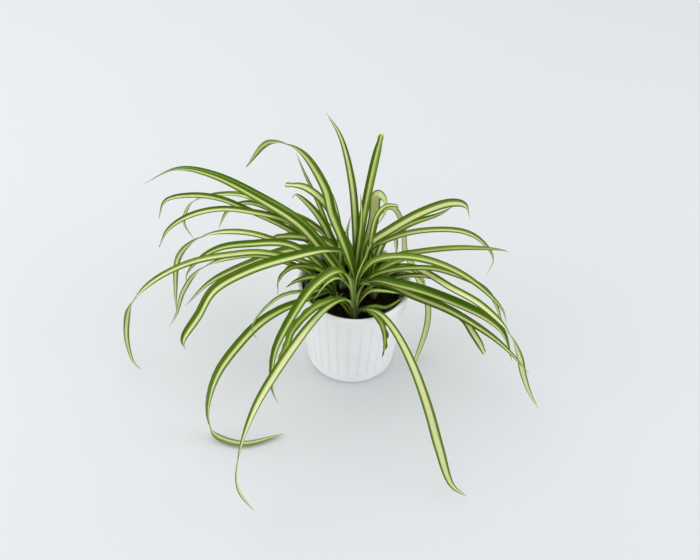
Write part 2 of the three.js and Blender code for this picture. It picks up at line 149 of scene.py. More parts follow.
# %% One method for every other node
class Tree:
    """Writes one node tree."""

    def __init__(self, nodes_and_links):
        self.network = nodes_and_links

    def add(self, kind, settings=None, inputs=None, output=0):
        """Adds a node: its type, its settings, then the value or wire of each input."""
        node = self.network.nodes.new(kind)
        for name, value in (settings or {}).items():
            if name == "stops":
                set_stops(node.color_ramp, value)
            else:
                setattr(node, name, value)
        for name, value in (inputs or {}).items():
            if isinstance(value, Wire):
                self.network.links.new(value.socket, node.inputs[name])
            else:
                node.inputs[name].default_value = value
        return Wire(self, node.outputs[output])

    def maths(self, operation, *values):
        """A Math node, or a Vector Math node where a vector is among the values."""
        vectors = [value for value in values if is_vector(value)]
        if not vectors:
            return self.add("ShaderNodeMath", {"operation": operation}, dict(enumerate(values)))
        if operation == "MULTIPLY" and len(vectors) < len(values):
            number = next(value for value in values if value is not vectors[0])
            inputs = {0: vectors[0], "Scale": number}
            return self.add("ShaderNodeVectorMath", {"operation": "SCALE"}, inputs)
        return self.add("ShaderNodeVectorMath", {"operation": operation}, dict(enumerate(values)))

    def smooth(self, value, low, high, start=0.0, end=1.0):
        """Rises gently from start to end while value goes from low to high."""
        return self.add("ShaderNodeMapRange", {"interpolation_type": "SMOOTHSTEP"}, {
            "Value": value, "From Min": low, "From Max": high, "To Min": start, "To Max": end,
        })

    def mix(self, share, first, second):
        """Mixes two colours."""
        return self.add("ShaderNodeMix", {"data_type": "RGBA"}, {0: share, 6: first, 7: second}, 2)

    def split(self, vector):
        x = self.add("ShaderNodeSeparateXYZ", inputs={"Vector": vector})
        return x, x.also("Y"), x.also("Z")

    def join(self, x, y, z=0.0):
        return self.add("ShaderNodeCombineXYZ", inputs={"X": x, "Y": y, "Z": z})

    def noise(self, vector, scale=1.0, detail=2.0, roughness=0.5):
        return self.add("ShaderNodeTexNoise", inputs={
            "Vector": vector, "Scale": scale, "Detail": detail, "Roughness": roughness,
        })


# %% [markdown]
# ## Running a Geometry Nodes tree
# A tree has named inputs for its sizes, so that one tree serves several pieces. Its result is turned
# into a plain mesh at once, and the modifier goes: what is left is an ordinary piece that any program
# can open.

# %% Trees with named inputs
SOCKETS = {int: "NodeSocketInt", float: "NodeSocketFloat"}


def geometry_tree(name, inputs):
    """A new Geometry Nodes tree and a function that gives each of its named inputs."""
    network = bpy.data.node_groups.new(name, "GeometryNodeTree")
    network.interface.new_socket("Geometry", in_out="INPUT", socket_type="NodeSocketGeometry")
    for label, value in inputs.items():
        kind = SOCKETS[type(value)]
        network.interface.new_socket(label, in_out="INPUT", socket_type=kind).default_value = value
    network.interface.new_socket("Material", in_out="INPUT", socket_type="NodeSocketMaterial")
    network.interface.new_socket("Geometry", in_out="OUTPUT", socket_type="NodeSocketGeometry")
    tree = Tree(network)
    first = tree.add("NodeGroupInput")
    return tree, first.also


def finish_tree(tree, geometry, material):
    """Ends a tree: real geometry, one material, out."""
    solid = tree.add("GeometryNodeRealizeInstances", inputs={"Geometry": geometry})
    painted = tree.add("GeometryNodeSetMaterial", inputs={"Geometry": solid, "Material": material})
    tree.network.links.new(painted.socket, tree.network.nodes.new("NodeGroupOutput").inputs[0])
    return tree.network


# %% Named values, and two geometries in one
def store(tree, geometry, name, value, kind="FLOAT", domain="POINT"):
    """Writes a named value on every point, corner, face or instance."""
    settings = {"data_type": kind, "domain": domain}
    return tree.add("GeometryNodeStoreNamedAttribute", settings, {
        "Geometry": geometry, "Name": name, "Value": value,
    })


def named(tree, name, kind="FLOAT"):
    return tree.add("GeometryNodeInputNamedAttribute", {"data_type": kind}, {"Name": name})


def together(tree, first, second):
    both = tree.add("GeometryNodeJoinGeometry", inputs={"Geometry": first})
    tree.network.links.new(second.socket, both.socket.node.inputs["Geometry"])
    return both


# %% Run a tree on a mesh
def grown(name, base_mesh, network, **values):
    """Runs a tree on a mesh and keeps the result as a plain mesh object."""
    piece = bpy.data.objects.new(name, base_mesh)
    bpy.context.collection.objects.link(piece)
    modifier = piece.modifiers.new(network.name, "NODES")
    modifier.node_group = network
    for item in network.interface.items_tree:
        key = item.name.lower().replace(" ", "_")
        if item.in_out == "INPUT" and key in values:
            modifier[item.identifier] = values[key]
    depsgraph = bpy.context.evaluated_depsgraph_get()
    mesh = bpy.data.meshes.new_from_object(
        piece.evaluated_get(depsgraph), preserve_all_data_layers=True, depsgraph=depsgraph
    )
    piece.modifiers.clear()
    piece.data = mesh
    mesh.name = name
    return piece


def triangles(piece):
    return sum(len(face.vertices) - 2 for face in piece.data.polygons)


# %% [markdown]
# ## Pots: a profile turned round an axis
# Both pots are bodies of revolution with shallow vertical ribs. A potter or a mould maker would draw
# half of the section and turn it, and so does this tree: it wraps a flat grid round the axis, one row
# of the grid for each point of the profile, and presses the grooves in where the profile says so.

# %% A tree that turns and ribs a profile
TAU = 2 * math.pi
MERGE = 1e-6
BAKE_MARGIN = 0.01


def inset(share):
    """A place in the bake map, kept clear of its edges."""
    return share * (1 - 2 * BAKE_MARGIN) + BAKE_MARGIN


def turned_pot_tree():
    tree, given = geometry_tree("turned_pot", {
        "Sides": 256, "Ribs": 32, "Rib Share": 0.6, "Rib Edge": 0.06, "Groove Depth": 0.8 * MM,
    })
    profile = given("Geometry")
    rows = tree.add("GeometryNodeAttributeDomainSize", {"component": "MESH"}, {"Geometry": profile})
    grid = tree.add("GeometryNodeMeshGrid", inputs={
        "Size X": 1.0, "Size Y": 1.0, "Vertices X": given("Sides") + 1, "Vertices Y": rows,
    })
    x, y, _ = tree.split(tree.add("GeometryNodeInputPosition"))
    around = x + 0.5
    upward = y + 0.5
    row = tree.maths("ROUND", upward * (rows - 1))

    grid = store(tree, grid, "OFBake", tree.join(inset(around), inset(upward)), "FLOAT2", "CORNER")

    def from_profile(value, kind):
        settings = {"data_type": kind, "domain": "POINT"}
        return tree.add("GeometryNodeSampleIndex", settings, {
            "Geometry": profile, "Value": value, "Index": row,
        })

    radius, _, height = tree.split(from_profile(tree.add("GeometryNodeInputPosition"), "FLOAT_VECTOR"))
    ribbed = from_profile(named(tree, "ribbed"), "FLOAT")
    edge = given("Rib Edge")
    step = tree.maths("FRACT", around * given("Ribs"))
    falls = tree.smooth(step, given("Rib Share"), given("Rib Share") + edge)
    rises = tree.smooth(step, 1 - edge, 1.0)
    groove = falls - rises
    radius = radius - groove * ribbed * given("Groove Depth")
    turn = around * TAU
    place = tree.join(radius * tree.maths("COSINE", turn), radius * tree.maths("SINE", turn), height)
    wall = tree.add("GeometryNodeSetPosition", inputs={"Geometry": grid, "Position": place})
    closed = tree.add("GeometryNodeMergeByDistance", inputs={"Geometry": wall, "Distance": MERGE})
    smooth = tree.add("GeometryNodeSetShadeSmooth", inputs={"Geometry": closed})
    return finish_tree(tree, smooth, given("Material"))


TURNED_POT = turned_pot_tree()
print("turning tree has", len(TURNED_POT.nodes), "nodes")

# %% Half a section as a chain of edges
def arc(centre, radius, start, end, steps=6):
    """Points on a quarter round of a profile, as (radius, height), angles in degrees."""
    angles = np.radians(np.linspace(start, end, steps))
    return [(centre[0] + radius * math.cos(a), centre[1] + radius * math.sin(a)) for a in angles]


def slope(outside, low, high, points, inward=0):
    """Points along a sloping side, or inward of it by a wall."""
    return [(outside(height) - inward, height) for height in np.linspace(low, high, points)]


def profile_mesh(name, points, is_ribbed):
    """Half a section in millimetres as a chain of edges, with how far each point takes the grooves."""
    mesh = bpy.data.meshes.new(name)
    places = [Vector((radius, 0, height)) * MM for radius, height in points]
    mesh.from_pydata(places, [(k, k + 1) for k in range(len(places) - 1)], [])
    ribbed = mesh.attributes.new("ribbed", "FLOAT", "POINT")
    ribbed.data.foreach_set("value", [is_ribbed(radius, height) for radius, height in points])
    return mesh


# %% [markdown]
# ## Surface finishes of the pots
# The cachepot is slip-cast white ware under a satin glaze: nearly white, very faintly uneven, with a
# bare biscuit ring where it stood in the kiln. The nursery pot is thin black polypropylene, matte and
# a little scuffed. Noise on object coordinates gives that unevenness its true scale in metres.

# %% Start, feed and settle a material
def new_material(name):
    material = bpy.data.materials.new(name)
    material.use_nodes = True
    tree = Tree(material.node_tree)
    surface = material.node_tree.nodes["Principled BSDF"]
    return material, tree, surface


def feed(tree, surface, **wires):
    """Links wires to inputs of the surface shader by name, such as base_color."""
    for name, wire in wires.items():
        tree.network.links.new(wire.socket, surface.inputs[name.replace("_", " ").title()])


def settle(surface, values):
    """Sets values that are the same everywhere on the surface shader itself."""
    for name, value in values.items():
        surface.inputs[name].default_value = value


def bump(tree, height, strength, distance):
    return tree.add("ShaderNodeBump", inputs={
        "Strength": strength, "Distance": distance, "Height": height,
    })


# %% Glaze
GLAZE_WHITE = (0.90, 0.91, 0.92, 1)
GLAZE_WARM = (0.87, 0.875, 0.87, 1)
BISCUIT = (0.62, 0.58, 0.51, 1)
BISCUIT_TOP = 1.2 * MM
BISCUIT_REACH = 50 * MM


def glaze_material():
    material, tree, surface = new_material("white_satin_glaze")
    place = tree.add("ShaderNodeTexCoord").also("Object")
    x, y, z = tree.split(place)
    clouds = tree.noise(place, scale=28, detail=3)
    glaze = tree.mix(tree.smooth(clouds, 0.35, 0.75), GLAZE_WHITE, GLAZE_WARM)
    from_axis = tree.maths("SQRT", x * x + y * y)
    low = 1 - tree.smooth(z, BISCUIT_TOP * 0.4, BISCUIT_TOP)
    bare = low * (1 - tree.smooth(from_axis, BISCUIT_REACH, BISCUIT_REACH + MM))
    grain = tree.noise(place, scale=900, detail=2)
    colour = tree.mix(bare, glaze, BISCUIT)
    roughness = 0.34 + clouds * 0.10 + bare * 0.4
    height = tree.noise(place, scale=160, detail=2) * 0.7 + grain * (bare * 0.8 + 0.05)
    normal = bump(tree, height, strength=0.25, distance=0.3 * MM)
    feed(tree, surface, base_color=colour, roughness=roughness, normal=normal)
    return material


GLAZE = glaze_material()
print("glaze has", len(GLAZE.node_tree.nodes), "nodes")

# %% Plastic
PLASTIC_BLACK = (0.018, 0.019, 0.020, 1)
PLASTIC_WORN = (0.055, 0.056, 0.056, 1)


def plastic_material():
    material, tree, surface = new_material("black_matte_plastic")
    place = tree.add("ShaderNodeTexCoord").also("Object")
    scuffs = tree.smooth(tree.noise(place, scale=65, detail=5, roughness=0.7), 0.52, 0.80)
    colour = tree.mix(scuffs, PLASTIC_BLACK, PLASTIC_WORN)
    roughness = 0.42 + scuffs * 0.3
    height = tree.noise(place, scale=1400, detail=2)
    normal = bump(tree, height, strength=0.2, distance=0.2 * MM)
    feed(tree, surface, base_color=colour, roughness=roughness, normal=normal)
    return material


PLASTIC = plastic_material()
print("plastic has", len(PLASTIC.node_tree.nodes), "nodes")

# %% [markdown]
# ## The cachepot
# A straight taper with thirty-two flat ribs, plain bands above and below them, a softly rounded foot
# and a rounded lip. The ribs fade in and out over a few millimetres, as they do under glaze.

# %% Sizes of the cachepot
POT_HEIGHT = 132
POT_RIM = 70
POT_FOOT = 55.5
POT_WALL = 4.5
POT_FLOOR = 5
LIP_ROUND = 1.8
FOOT_ROUND = 7
WELL_ROUND = 4
RIB_LOW = 15
RIB_HIGH = 119
RIB_FADE = 2.5
OUTER_POINTS = 60
INNER_POINTS = 16


def pot_outside(height):
    return POT_FOOT + (POT_RIM - POT_FOOT) * height / POT_HEIGHT


print("outside slopes from", POT_FOOT, "to", POT_RIM, "mm from the axis")

# %% Turn the cachepot
def cachepot():
    lip_low = POT_HEIGHT - LIP_ROUND
    outer = slope(pot_outside, FOOT_ROUND, lip_low, OUTER_POINTS)
    lip_out = arc((POT_RIM - LIP_ROUND, lip_low), LIP_ROUND, 0, 90)
    lip_in = arc((POT_RIM - POT_WALL + LIP_ROUND, lip_low), LIP_ROUND, 90, 180)
    inner = slope(pot_outside, lip_low - 2, POT_FLOOR + WELL_ROUND, INNER_POINTS, POT_WALL)
    well = arc((inner[-1][0] - WELL_ROUND, POT_FLOOR + WELL_ROUND), WELL_ROUND, 0, -90)
    foot = arc((pot_outside(FOOT_ROUND) - FOOT_ROUND, FOOT_ROUND), FOOT_ROUND, -90, 0, 9)
    bottom = [(radius, 0) for radius in (0, 20, 40)]
    floor = [(radius, POT_FLOOR) for radius in (30, 0)]
    points = bottom + foot[:-1] + outer[:-1] + lip_out + lip_in[1:] + inner + well[1:] + floor

    def is_ribbed(radius, height):
        fade_in = (height - RIB_LOW) / RIB_FADE
        fade_out = (RIB_HIGH - height) / RIB_FADE
        outside = radius > pot_outside(height) - 1
        return max(0.0, min(1.0, fade_in, fade_out)) if outside else 0.0

    profile = profile_mesh("cachepot_profile", points, is_ribbed)
    return grown("cachepot", profile, TURNED_POT, sides=576, ribs=32, material=GLAZE)


pot = cachepot()
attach(pot, "root")
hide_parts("pot")
print("cachepot", triangles(pot), "triangles,", round(2 * POT_RIM), "mm across the rim")

# %% [markdown]
# ## The nursery pot
# The plant is sold in this thin pot and stays in it. It has the same construction as the cachepot, so
# the same tree turns it: a wall of one and a half millimetres with stiffening ribs and a turned lip.
# Six drain holes are cut through its floor afterwards with cylinders.

# %% Sizes of the nursery pot
NURSERY_BOTTOM = 5.3
NURSERY_TOP = 125
NURSERY_BASE = 42
NURSERY_MOUTH = 59.5
NURSERY_LIP = 61.5
NURSERY_LIP_HEIGHT = 6
NURSERY_WALL = 1.5
NURSERY_ROUND = 0.7
NURSERY_POINTS = 24
NURSERY_RIB_LOW = 8
NURSERY_RIB_FADE = 3


def nursery_outside(height):
    share = (height - NURSERY_BOTTOM) / (NURSERY_TOP - NURSERY_BOTTOM)
    return NURSERY_BASE + (NURSERY_MOUTH - NURSERY_BASE) * share


print("nursery pot clears the cachepot's wall by",
      round(pot_outside(NURSERY_TOP) - POT_WALL - NURSERY_LIP, 1), "mm at its lip")

# %% A tree that drills drain holes
DRAINS = 6
DRAIN_RADIUS = 4 * MM
DRAIN_CIRCLE = 28 * MM
DRILL_SIDES = 24
DRILL_LENGTH = 24 * MM


def drilling_tree():
    """Cuts a ring of round holes straight down through a piece."""
    tree, given = geometry_tree("drain_holes", {
        "Holes": DRAINS, "Hole Radius": DRAIN_RADIUS, "Circle Radius": DRAIN_CIRCLE,
    })
    drill = tree.add("GeometryNodeMeshCylinder", inputs={
        "Vertices": DRILL_SIDES, "Radius": given("Hole Radius"), "Depth": DRILL_LENGTH,
    })
    ring = tree.add("GeometryNodeMeshCircle", inputs={
        "Vertices": given("Holes"), "Radius": given("Circle Radius"),
    })
    drills = tree.add("GeometryNodeInstanceOnPoints", inputs={"Points": ring, "Instance": drill})
    drilled = tree.add("GeometryNodeMeshBoolean", {"operation": "DIFFERENCE", "solver": "EXACT"}, {
        "Mesh 1": given("Geometry"), "Mesh 2": drills,
    })
    return finish_tree(tree, drilled, given("Material"))


# %% Turn the nursery pot and drill its floor
def nursery_pot():
    lip_low = NURSERY_TOP - NURSERY_LIP_HEIGHT
    floor_top = NURSERY_BOTTOM + NURSERY_WALL
    outer = slope(nursery_outside, NURSERY_BOTTOM + 1, lip_low, NURSERY_POINTS)
    lip = [(NURSERY_LIP, lip_low), (NURSERY_LIP, lip_low + 0.4)]
    lip += arc((NURSERY_LIP - NURSERY_ROUND, NURSERY_TOP - NURSERY_ROUND), NURSERY_ROUND, 0, 90, 4)
    mouth = NURSERY_MOUTH - NURSERY_WALL
    lip += arc((mouth + NURSERY_ROUND, NURSERY_TOP - NURSERY_ROUND), NURSERY_ROUND, 90, 180, 4)
    inner = slope(nursery_outside, NURSERY_TOP - 3, floor_top + 1, NURSERY_POINTS, NURSERY_WALL)
    bottom = [(radius, NURSERY_BOTTOM) for radius in (0, 15, 38, NURSERY_BASE - 1)]
    floor = [(radius, floor_top) for radius in (NURSERY_BASE - NURSERY_WALL - 1, 38, 15, 0)]
    points = bottom + outer + lip + inner + floor

    def is_ribbed(radius, height):
        inside = radius < nursery_outside(height) - 1
        if not inside or height < floor_top + NURSERY_RIB_LOW:
            return 0.0
        return -max(0.0, min(1.0, (NURSERY_TOP - 2 - height) / NURSERY_RIB_FADE))

    profile = profile_mesh("nursery_profile", points, is_ribbed)
    piece = grown("nursery_shell", profile, TURNED_POT, sides=480, ribs=40, rib_share=0.7,
                  rib_edge=0.12, groove_depth=0.5 * MM, material=PLASTIC)
    shell = piece.data
    bpy.data.objects.remove(piece)
    return grown("nursery_pot_shell", shell, drilling_tree(), material=PLASTIC)


inner_pot = nursery_pot()
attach(inner_pot, "root")
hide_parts("nursery_pot")
print("nursery pot", triangles(inner_pot), "triangles with", DRAINS, "drain holes")

# %% [markdown]
# ## Soil
# Potting mix is peat and bark in crumbs of a few millimetres, dark brown where it is damp, with a few
# paler bits. The body of it is a turned block with an uneven top, written ring by ring because each
# ring follows the swell of the surface.

# %% Soil colour
def soil_material():
    material, tree, surface = new_material("damp_potting_mix")
    place = tree.add("ShaderNodeTexCoord").also("Object")
    crumbs = tree.noise(place, scale=260, detail=3)
    tint = tree.add("ShaderNodeValToRGB", {"stops": [
        (0.30, (0.004, 0.003, 0.0025, 1)),
        (0.50, (0.010, 0.007, 0.005, 1)),
        (0.64, (0.024, 0.015, 0.010, 1)),
        (0.80, (0.080, 0.052, 0.030, 1)),
    ]}, {0: crumbs})
    height = tree.noise(place, scale=1500, detail=3)
    normal = bump(tree, height, strength=0.6, distance=0.4 * MM)
    feed(tree, surface, base_color=tint, normal=normal)
    settle(surface, {"Roughness": 0.93, "Specular IOR Level": 0.1})
    return material


SOIL = soil_material()
print("soil material has", len(SOIL.node_tree.nodes), "nodes")

# %% Soil block with an uneven top
SOIL_TOP = 102
SOIL_SWELL = 1.5
SOIL_GAP = 0.3
SOIL_RINGS = 26
SOIL_SIDES = 128


def soil_height(x, y):
    return SOIL_TOP + SOIL_SWELL * math.sin(x / 9 + 1) * math.cos(y / 11)


def soil_block():
    """A closed turned block whose top follows the soil's uneven surface, in millimetres."""
    bottom = NURSERY_BOTTOM + NURSERY_WALL + SOIL_GAP
    fits = NURSERY_WALL + SOIL_GAP
    rim = nursery_outside(SOIL_TOP - SOIL_SWELL) - fits
    rings = [(nursery_outside(bottom) - fits, lambda x, y: bottom), (rim, soil_height)]
    rings += [(rim * (1 - k / SOIL_RINGS), soil_height) for k in range(1, SOIL_RINGS)]
    places = []
    for radius, height in rings:
        for side in range(SOIL_SIDES):
            x = radius * math.cos(side * TAU / SOIL_SIDES)
            y = radius * math.sin(side * TAU / SOIL_SIDES)
            places.append((x * MM, y * MM, height(x, y) * MM))
    places += [(0, 0, bottom * MM), (0, 0, soil_height(0, 0) * MM)]
    neighbours = [(side, (side + 1) % SOIL_SIDES) for side in range(SOIL_SIDES)]
    *starts, last = range(0, len(rings) * SOIL_SIDES, SOIL_SIDES)
    faces = []
    for start in starts:
        above = start + SOIL_SIDES
        faces += [(start + near, start + far, above + far, above + near) for near, far in neighbours]
    for near, far in neighbours:
        faces += [(far, near, len(places) - 2), (last + near, last + far, len(places) - 1)]
    mesh = bpy.data.meshes.new("soil_block")
    mesh.from_pydata(places, [], faces)
    return mesh


block = soil_block()
print("soil block has", len(block.polygons), "faces")

# %% [markdown]
# ## Crumbs
# Real crumbs lie loose, so they are scattered over the top by Geometry Nodes. Each one is the same
# small ball, turned and squashed at random, until noise pushes its points about, after which no two
# are alike. Most are small, because the share that sets their size is multiplied by itself.

# %% Scatter the crumbs
CRUMB = 1.5 * MM
CRUMBS_PER_SQUARE_METRE = 130000.0
SMALLEST = 0.35
SIZE_RANGE = 1.1
FLATTEST = (0.7, 0.6, 0.5)
ROUNDEST = (1.3, 1.0, 0.9)


def crumb_tree():
    tree, given = geometry_tree("soil_crumbs", {
        "Crumbs": CRUMBS_PER_SQUARE_METRE, "Crumb Size": CRUMB, "Unevenness": 0.5 * MM, "Seed": 4,
    })
    soil_body = given("Geometry")
    _, _, up = tree.split(tree.add("GeometryNodeInputNormal"))
    top = tree.add("FunctionNodeCompare", {"operation": "GREATER_THAN"}, {0: up, 1: 0.5})
    spots = tree.add("GeometryNodeDistributePointsOnFaces", inputs={
        "Mesh": soil_body, "Selection": top, "Density": given("Crumbs"), "Seed": given("Seed"),
    })
    ball = tree.add("GeometryNodeMeshUVSphere", inputs={"Segments": 7, "Rings": 5, "Radius": 1.0})

    def random(kind, low, high, shift):
        first, output = (0, 0) if kind == "FLOAT_VECTOR" else (2, 1)
        inputs = {first: low, first + 1: high, "Seed": given("Seed") + shift}
        return tree.add("FunctionNodeRandomValue", {"data_type": kind}, inputs, output)

    share = random("FLOAT", 0.0, 1.0, 1)
    size = given("Crumb Size") * (SMALLEST + share * share * share * SIZE_RANGE)
    crumbs = tree.add("GeometryNodeInstanceOnPoints", inputs={
        "Points": spots, "Instance": ball, "Rotation": random("FLOAT_VECTOR", (0, 0, 0), (TAU,) * 3, 2),
        "Scale": size * random("FLOAT_VECTOR", FLATTEST, ROUNDEST, 3),
    })
    loose = tree.add("GeometryNodeRealizeInstances", inputs={"Geometry": crumbs})
    place = tree.add("GeometryNodeInputPosition")
    bumps = tree.noise(place, scale=900, detail=2).also("Color")
    push = (bumps - (0.5, 0.5, 0.5)) * given("Unevenness") * 2
    lumpy = tree.add("GeometryNodeSetPosition", inputs={"Geometry": loose, "Offset": push})
    both = together(tree, soil_body, lumpy)
    smooth = tree.add("GeometryNodeSetShadeSmooth", inputs={"Geometry": both})
    return finish_tree(tree, smooth, given("Material"))


soil = grown("soil_and_crumbs", block, crumb_tree(), material=SOIL)
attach(soil, "root")
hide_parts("soil")
print("soil", triangles(soil), "triangles")

# %% [markdown]
# ## The leaves of seven crowns
# Every leaf is listed by what a grower would measure: which way it heads from its crown, how wide it
# is, how it rolls and twists, and where its midrib passes. These are the model's own values, so each
# leaf keeps its form, and only the one that lies on the floor gets a fuller tip. Most leaves share one
# outline and one way of twisting, and the others bring their own as a tuple. The last values are looks:
# how much of the width is cream, how far that stripe lies off the keel, how much of it is lime, how much
# of the length has dried, and how wavy the margins are.

# %% How a leaf is written down
ROOT_PLACE = (2, 96)
USUAL_OUTLINE = (0.3, 4, 0.08)
USUAL_TWIST = (0.3, 1)
USUAL_STRIPE = (0.0, 0.2)


def completed(value, usual):
    """A number or a short tuple, filled up with the usual values."""
    brought = value if isinstance(value, tuple) else (value,)
    return brought + usual[len(brought) - 1:]


def leaf(heading, width, roll, twist, places, stripe=0.32, dry=0.0, wave=0.0):
    """One leaf. Angles in degrees, width in mm, places as (reach, height, sideways) in mm.

    Width may go on with where the leaf is widest, how late it tapers and the share left at its tip.
    Twist may go on with the shares of the length between which the leaf turns. Stripe may go on with
    how far the stripe lies to the left of the keel and how much of its cream is lime instead.
    """
    return {
        "heading": heading, "outline": completed(width, USUAL_OUTLINE), "roll": roll,
        "twist": completed(twist, USUAL_TWIST), "root": ROOT_PLACE, "places": places,
        "stripe": completed(stripe, USUAL_STRIPE), "dry": dry, "wave": wave, "sheath": 0.0,
    }


# %% Seven crowns and their leaves
SHOOTS = {}
SHOOTS["shoot_front"] = (2, -36), [
    leaf(232, (13.5, 0.3, 2.1), -8, 10, [(8, 145), (18, 185), (40, 209), (79, 212), (115, 189),
         (140, 158), (146, 100), (135, 57)], stripe=(0.24, 0.25, 0.5), wave=0.04),
    leaf(217, (11, 0.3, 9), -12, 0, [(10, 128), (29, 149), (58, 153), (88, 131, -1), (98, 108, 0),
         (110, 86, -2)], stripe=(0.3, 0.1, 0.95), wave=0.15),
    leaf(244, (11.5, 0.55, 4), -5, (70, 0.45, 0.9), [(8, 128), (28, 158), (58, 172, -4), (103, 182, -4),
         (182, 171, -5), (214, 149, -8), (241, 86, -14), (247, 42, -10), (246, 12, 10)],
         stripe=(0.5, 0.1, 0.15)),
    leaf(205, (12.5, 0.3, 2.5), 0, 30, [(4, 140), (12, 164), (26, 178), (37, 174), (56, 149)],
         stripe=(0.42, 0, 0.45), dry=0.02),
    leaf(330, (8, 0.3, 4), 0, 20, [(4, 140), (7, 158, 6), (12, 158, 10), (13, 143, 14)],
         stripe=(0.3, 0, 0.7)),
    leaf(0, 7.5, 0, 0, [(4, 118, 4), (9, 132, 4), (18, 146, 3), (30, 151), (42, 152, -2),
         (53, 149, -1)], stripe=(0.35, 0, 0.5)),
    leaf(304, (12.5, 0.7, 2.5), 0, 20, [(8, 120), (45, 150, 2), (83, 155), (125, 137, -2),
         (161, 103, -3), (190, 62, -3), (219, 24, -1), (234, 8, 13)], stripe=(0.5, 0, 0.15)),
    leaf(308, (10.5, 0.3, 2.2), 0, 20, [(5, 115), (16, 126, 4), (37, 138, 2), (56, 138, -1),
         (64, 118, -2), (63, 90, -4)], stripe=(0.24, 0, 0.9), dry=0.1, wave=0.5),
    leaf(0, 7, 15, 10, [(8, 114, 1), (23, 120, 4), (37, 124, -1), (46, 130, -1), (53, 134.5, 2),
         (58, 137, 6), (61, 137, 10)], stripe=(0.3, 0, 0.9), dry=0.08),
    leaf(150, 6, 0, 0, [(5, 108, 3), (15, 118, 3), (21, 122, 5)], stripe=(0.2, 0, 0.9)),
]
SHOOTS["shoot_middle"] = (3, -11), [
    leaf(344, (14, 0.3, 2.2), 12, 15, [(-4, 125), (8, 140), (35, 148), (74, 140), (118, 131),
         (171, 118, -10), (200, 111, -23), (227, 99, -37)], stripe=(0.26, -0.1, 0.35), dry=0.012),
    leaf(349, (14, 0.4, 3.5, 0.15), 15, 0, [(4, 125), (20, 148), (54, 153, -4), (89, 148, -3),
         (139, 134, -3), (165, 121, -2), (184, 103, -1), (203, 54)], stripe=(0.26, -0.42, 0.45),
         dry=0.012),
    leaf(341, (12, 0.7, 9, 0.5), 10, 20, [(6, 114), (22, 138, 4), (47, 141, 10), (77, 134, 14),
         (103, 126, 13), (133, 117, 13), (148, 105, 7), (161, 92, 3), (169, 81, 1)],
         stripe=(0.4, 0.1, 0.05)),
    leaf(356, (11.5, 0.3, 3), 15, 10, [(2, 135), (9, 160), (20, 177), (43, 187), (84, 186), (133, 164),
         (180, 118), (190, 90)], stripe=(0.26, -0.05, 0.3)),
    leaf(358, (8, 0.3, 7), 15, 10, [(6, 125), (16, 148), (39, 163), (74, 171), (98, 170), (149, 149),
         (168, 127), (190, 70)], stripe=(0.28, -0.1, 0.2)),
    leaf(155, (17, 0.3, 2), -18, 10, [(9, 131, 3), (19, 155, 9), (50, 180, 4), (80, 199),
         (137, 212, -4), (203, 220, -6), (259, 208, -8), (317, 163, -5)], stripe=(0.15, 0.3, 0.15),
         dry=0.035),
    leaf(140, 13, -15, (75, 0.45, 0.9), [(3, 120, -1), (4, 146, 1), (11, 180, 6), (25, 205, 6),
         (44, 226, 2), (63, 243, -8), (115, 265, -19), (167, 252, -19), (211, 191, -16)],
         stripe=(0.3, 0.1, 0.5), dry=0.03),
    leaf(40, 4.5, 0, 0, [(-8, 130, -8), (-10, 165, -12), (4, 188, -9), (20, 198)],
         stripe=(0.3, 0, 0.6)),
]
SHOOTS["shoot_left"] = (-21, -8), [
    leaf(177, 11, -20, 0, [(18, 155), (58, 189), (106, 185), (143, 174), (171, 150), (188, 120),
         (185, 96)], stripe=(0.22, 0.1, 0.3)),
    leaf(187, (10, 0.3, 7), -15, (100, 0.62, 0.9), [(22, 156), (87, 186), (128, 186, 1), (176, 173, -1),
         (223, 141, -4), (252, 104, -5), (263, 66, -11), (266, 38, -6), (260, 12, 8), (250, 4, 15)],
         stripe=(0.38, 0, 0.2), dry=0.015),
    leaf(184, 8.5, -15, (100, 0.48, 0.78), [(24, 142), (93, 178), (129, 174), (166, 154), (188, 119),
         (201, 76), (212, 54)], stripe=(0.4, 0.1, 0.2), dry=0.012),
    leaf(192, (9, 0.45, 2.2, 0.25), -20, 0, [(6, 135), (25, 161), (55, 167), (71, 149), (73, 123)],
         stripe=(0.2, 0, 0.7), wave=0.14),
    leaf(197, (10.5, 0.3, 3), -25, 10, [(8, 128), (28, 149), (50, 148), (65, 139)],
         stripe=(0.25, 0, 0.5), dry=0.07),
    leaf(222, (7.5, 0.3, 2, 0.2), -10, 20, [(6, 122, -4), (44, 146, 2), (77, 169, 8), (103, 180, 14),
         (130, 178, 20), (143, 169, 23), (145, 163, 27), (144, 157, 33)], stripe=(0.22, 0.1, 0.5),
         wave=0.06),
    leaf(226, (12.5, 0.3, 9), -10, (45, 0.35, 0.95), [(6, 120), (30, 132), (65, 146, 4), (97, 155, 5),
         (128, 158, 7), (160, 150, 10), (189, 122, 7), (203, 72, 1), (205, 32, 1), (198, 7, 3),
         (181, 4.5, 31), (134, 4.5, 55)], stripe=(0.27, 0.12, 0.3), wave=0.02),
]
